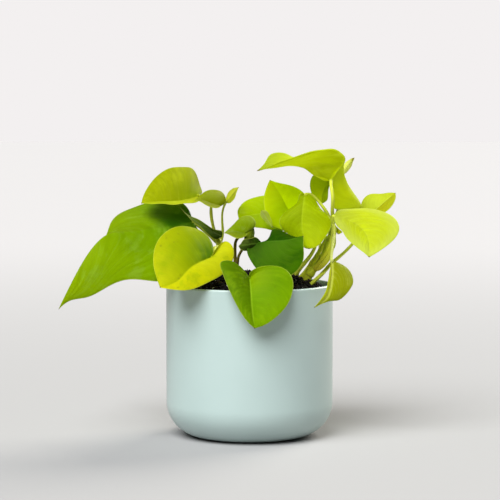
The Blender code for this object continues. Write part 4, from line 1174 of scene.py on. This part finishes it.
def leafFinish(name, leaf):
    # the two halves' tints by the reach from the joint, side veins where the bent row times their
    # number is whole, a pale midrib and rim, soft clouding, streaks along the side veins that are partly
    # mottling and partly painted sheen, and light coming through
    material, tree, shader = newMaterial(name)
    spot = place(tree)
    row, turn, reach, ribGap, edgeGap, tipGap, upper = (
        attribute(tree, word) for word in
        ("row", "turn", "reach", "ribGap", "edgeGap", "tipGap", "upper"))
    cloud = noise(tree, spot, leaf["cloudScale"], 3, 0.55) - 0.5
    fleck = noise(tree, spot, leaf["fleckScale"], 3, 0.6) - 0.5
    pores = cells(tree, spot, leaf["poreScale"], "DISTANCE_TO_EDGE")
    bent = row - turn * turn * leaf["sweep"]
    grown = addNode(tree, "ShaderNodeCombineXYZ", {}, {
        0: bent * leaf["streaks"], 1: turn * 2.2, 2: reach * 1.5})
    streakAndSheen = noise(tree, grown, 1.0, 3, 0.6) - 0.5
    where = reach + cloud * 0.3
    halves = [ramp(tree, where, leaf["spread"], leaf[key]) for key in ("leftTint", "rightTint")]
    colour = blend(tree, between(tree, turn + cloud * 0.1, 0.03, -0.03), *halves)

    def tinted(share, tint):
        return blend(tree, share, colour, paint(leaf[tint]))

    if "blotch" in leaf:
        patches = noise(tree, spot, leaf["blotchScale"], 4, 0.65) + streakAndSheen * 0.5
        colour = tinted(between(tree, patches, 0.5, 0.72) * leaf["blotchShow"], "blotch")
    if "specks" in leaf:
        dots = between(tree, cells(tree, spot, leaf["speckScale"]) + fleck * 0.2, 0.2, 0.08)
        few = between(tree, noise(tree, spot, leaf["speckPatches"], 1), 0.52, 0.6)
        colour = tinted(dots * few * leaf["specks"], "speck")
    phase = bent * leaf["veins"] + 0.5
    vein = (between(tree, abs(phase.fraction() - 0.5), 0.075, 0.01)
            * between(tree, edgeGap, 0.5, 5))
    branch = abs((phase * 2.0).fraction() - 0.5)
    faint = between(tree, branch, 0.1, 0.02) * between(tree, ribGap, 2, 9)
    wide = leaf["ribWide"]
    rib = between(tree, ribGap, wide, wide * 0.37) * between(tree, reach, 0.99, 0.8)
    colour = tinted(vein * leaf["veinShow"], "vein")
    colour = tinted(faint * leaf["veinShow"] * 0.35, "vein")
    colour = tinted(rib * leaf["ribShow"], "vein")
    if "paleEdge" in leaf:
        colour = tinted(between(tree, edgeGap + cloud * 12.0, 12, 2) * leaf["paleEdge"], "edgeTint")
    colour = tinted(between(tree, edgeGap + fleck * 0.3, 0.75, 0.2) * leaf["rimShow"], "rim")
    colour = tinted((1.0 - upper) * leaf["underShow"], "under")
    if "over" in leaf:
        colour = tinted(upper * leaf["overShow"], "over")
    # the streaks lighten and darken the colour: partly mottling, partly painted sheen along the side
    # veins
    brightness = 1.0 + cloud * 0.2 + fleck * 0.1 + streakAndSheen * leaf["mottleAndSheen"]
    colour = addNode(tree, "ShaderNodeHueSaturation", {}, {"Value": brightness, "Color": colour})
    tip = leaf["tipBrown"]
    relief = (1.0 - vein) * 0.5 + (1.0 - rib) * 0.5 + pores * 2.0 + fleck * 0.25 + streakAndSheen * 1.2
    feed(shader, {
        "Base Color": tinted(between(tree, tipGap + fleck, tip, tip * 0.4), "dry"),
        "Roughness": leaf["rough"] + fleck * 0.12 + streakAndSheen * 0.25 + (1.0 - upper) * 0.16,
        "Specular IOR Level": 0.15,
        "Specular Tint": (0.72, 0.95, 0.1, 1.0),
        "Normal": bump(tree, relief, leaf["relief"], 0.3 * mm),
    })
    glow = addNode(tree, "ShaderNodeBsdfTranslucent", {}, {"Color": paint(leaf["glow"])})
    lit = addNode(tree, "ShaderNodeMixShader", {}, {
        0: leaf["through"], 1: Wire(tree, shader.outputs[0]), 2: glow})
    feed(tree.nodes["Material Output"], {"Surface": lit})
    return material


for seed, (node, own) in enumerate(leaves.items(), 100):
    leaf = {**blade, **own}
    name = pieceName(node)
    points, faces, marks = bladeSkin(leaf, seed)
    addPiece(name, points, [faces], leafFinish(name + "Skin", leaf),
             [node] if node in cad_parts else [], marks)
print("leaves grown:", len(leaves))


# the studio: a pale floor, an even pale surround, a broad soft key and a softer light from behind

studio = {
    "floorRadius": 14.0,
    "floor": (168, 168, 168),  # near the pot
    "floorFar": (187, 186, 187),
    "surround": (243, 240, 240),
    "ambient": 0.1,
    "key": {"strength": 5.0, "angle": 46, "from": (-0.34, -0.75, 0.95), "colour": (0.99, 1.0, 1.01)},
    "back": {"strength": 3.2, "angle": 40, "from": (0.66, 0.72, 0.6), "colour": (1.0, 0.95, 0.86)},
    "camera": (0.0004, -1.7, 0.277),
    "pitch": -4.07,
    "lens": 146.1,
}


def makeFloor():
    # a round sheet a fifth of a millimetre under the pot, a little brighter far away
    sides = 96
    angles = np.linspace(0, 2 * math.pi, sides, endpoint=False)
    points = np.stack([np.cos(angles), np.sin(angles), np.zeros(sides)], -1) * studio["floorRadius"]
    points[:, 2] = -0.2 * mm
    mesh = bpy.data.meshes.new("studioFloor")
    mesh.from_pydata(points.tolist(), [], [list(range(sides))])
    material, tree, shader = newMaterial("paleFloor")
    far = between(tree, distance(tree, place(tree)), 0.1, 2.5)
    feed(shader, {"Base Color": blend(tree, far, paint(studio["floor"]), paint(studio["floorFar"])),
                  "Roughness": 0.9, "Specular IOR Level": 0.1})
    mesh.materials.append(material)
    floor = bpy.data.objects.new("studioFloor", mesh)
    bpy.context.scene.collection.objects.link(floor)


def makeSun(name, look):
    # a wide sun is as soft as a large lamp; "from" is where it stands
    light = bpy.data.lights.new(name, "SUN")
    light.energy = look["strength"]
    light.angle = math.radians(look["angle"])
    light.color = look["colour"]
    sun = bpy.data.objects.new(name, light)
    bpy.context.scene.collection.objects.link(sun)
    x, y, z = look["from"]
    sun.location = look["from"]
    sun.rotation_euler = (math.atan2(math.hypot(x, y), z), 0, math.atan2(x, -y))


def makeSurround():
    # the camera sees the surround's own brightness; everything else is lit by the ambient share of it
    world = bpy.data.worlds.new("surround")
    world.use_nodes = True
    bpy.context.scene.world = world
    tree = world.node_tree
    seen = addNode(tree, "ShaderNodeLightPath")
    dim = studio["ambient"]
    feed(tree.nodes["Background"], {"Color": paint(studio["surround"]),
                                    "Strength": seen * (1 - dim) + dim})


def makeCamera():
    view = bpy.data.cameras.new("camera")
    view.lens = studio["lens"]
    view.sensor_width = 36
    camera = bpy.data.objects.new("camera", view)
    bpy.context.scene.collection.objects.link(camera)
    camera.location = studio["camera"]
    camera.rotation_euler = (math.radians(90 + studio["pitch"]), 0, 0)
    bpy.context.scene.camera = camera


makeFloor()
makeSun("keyLight", studio["key"])
makeSun("backLight", studio["back"])
makeSurround()
makeCamera()
bpy.context.scene.view_settings.view_transform = "Standard"
print("studio set")
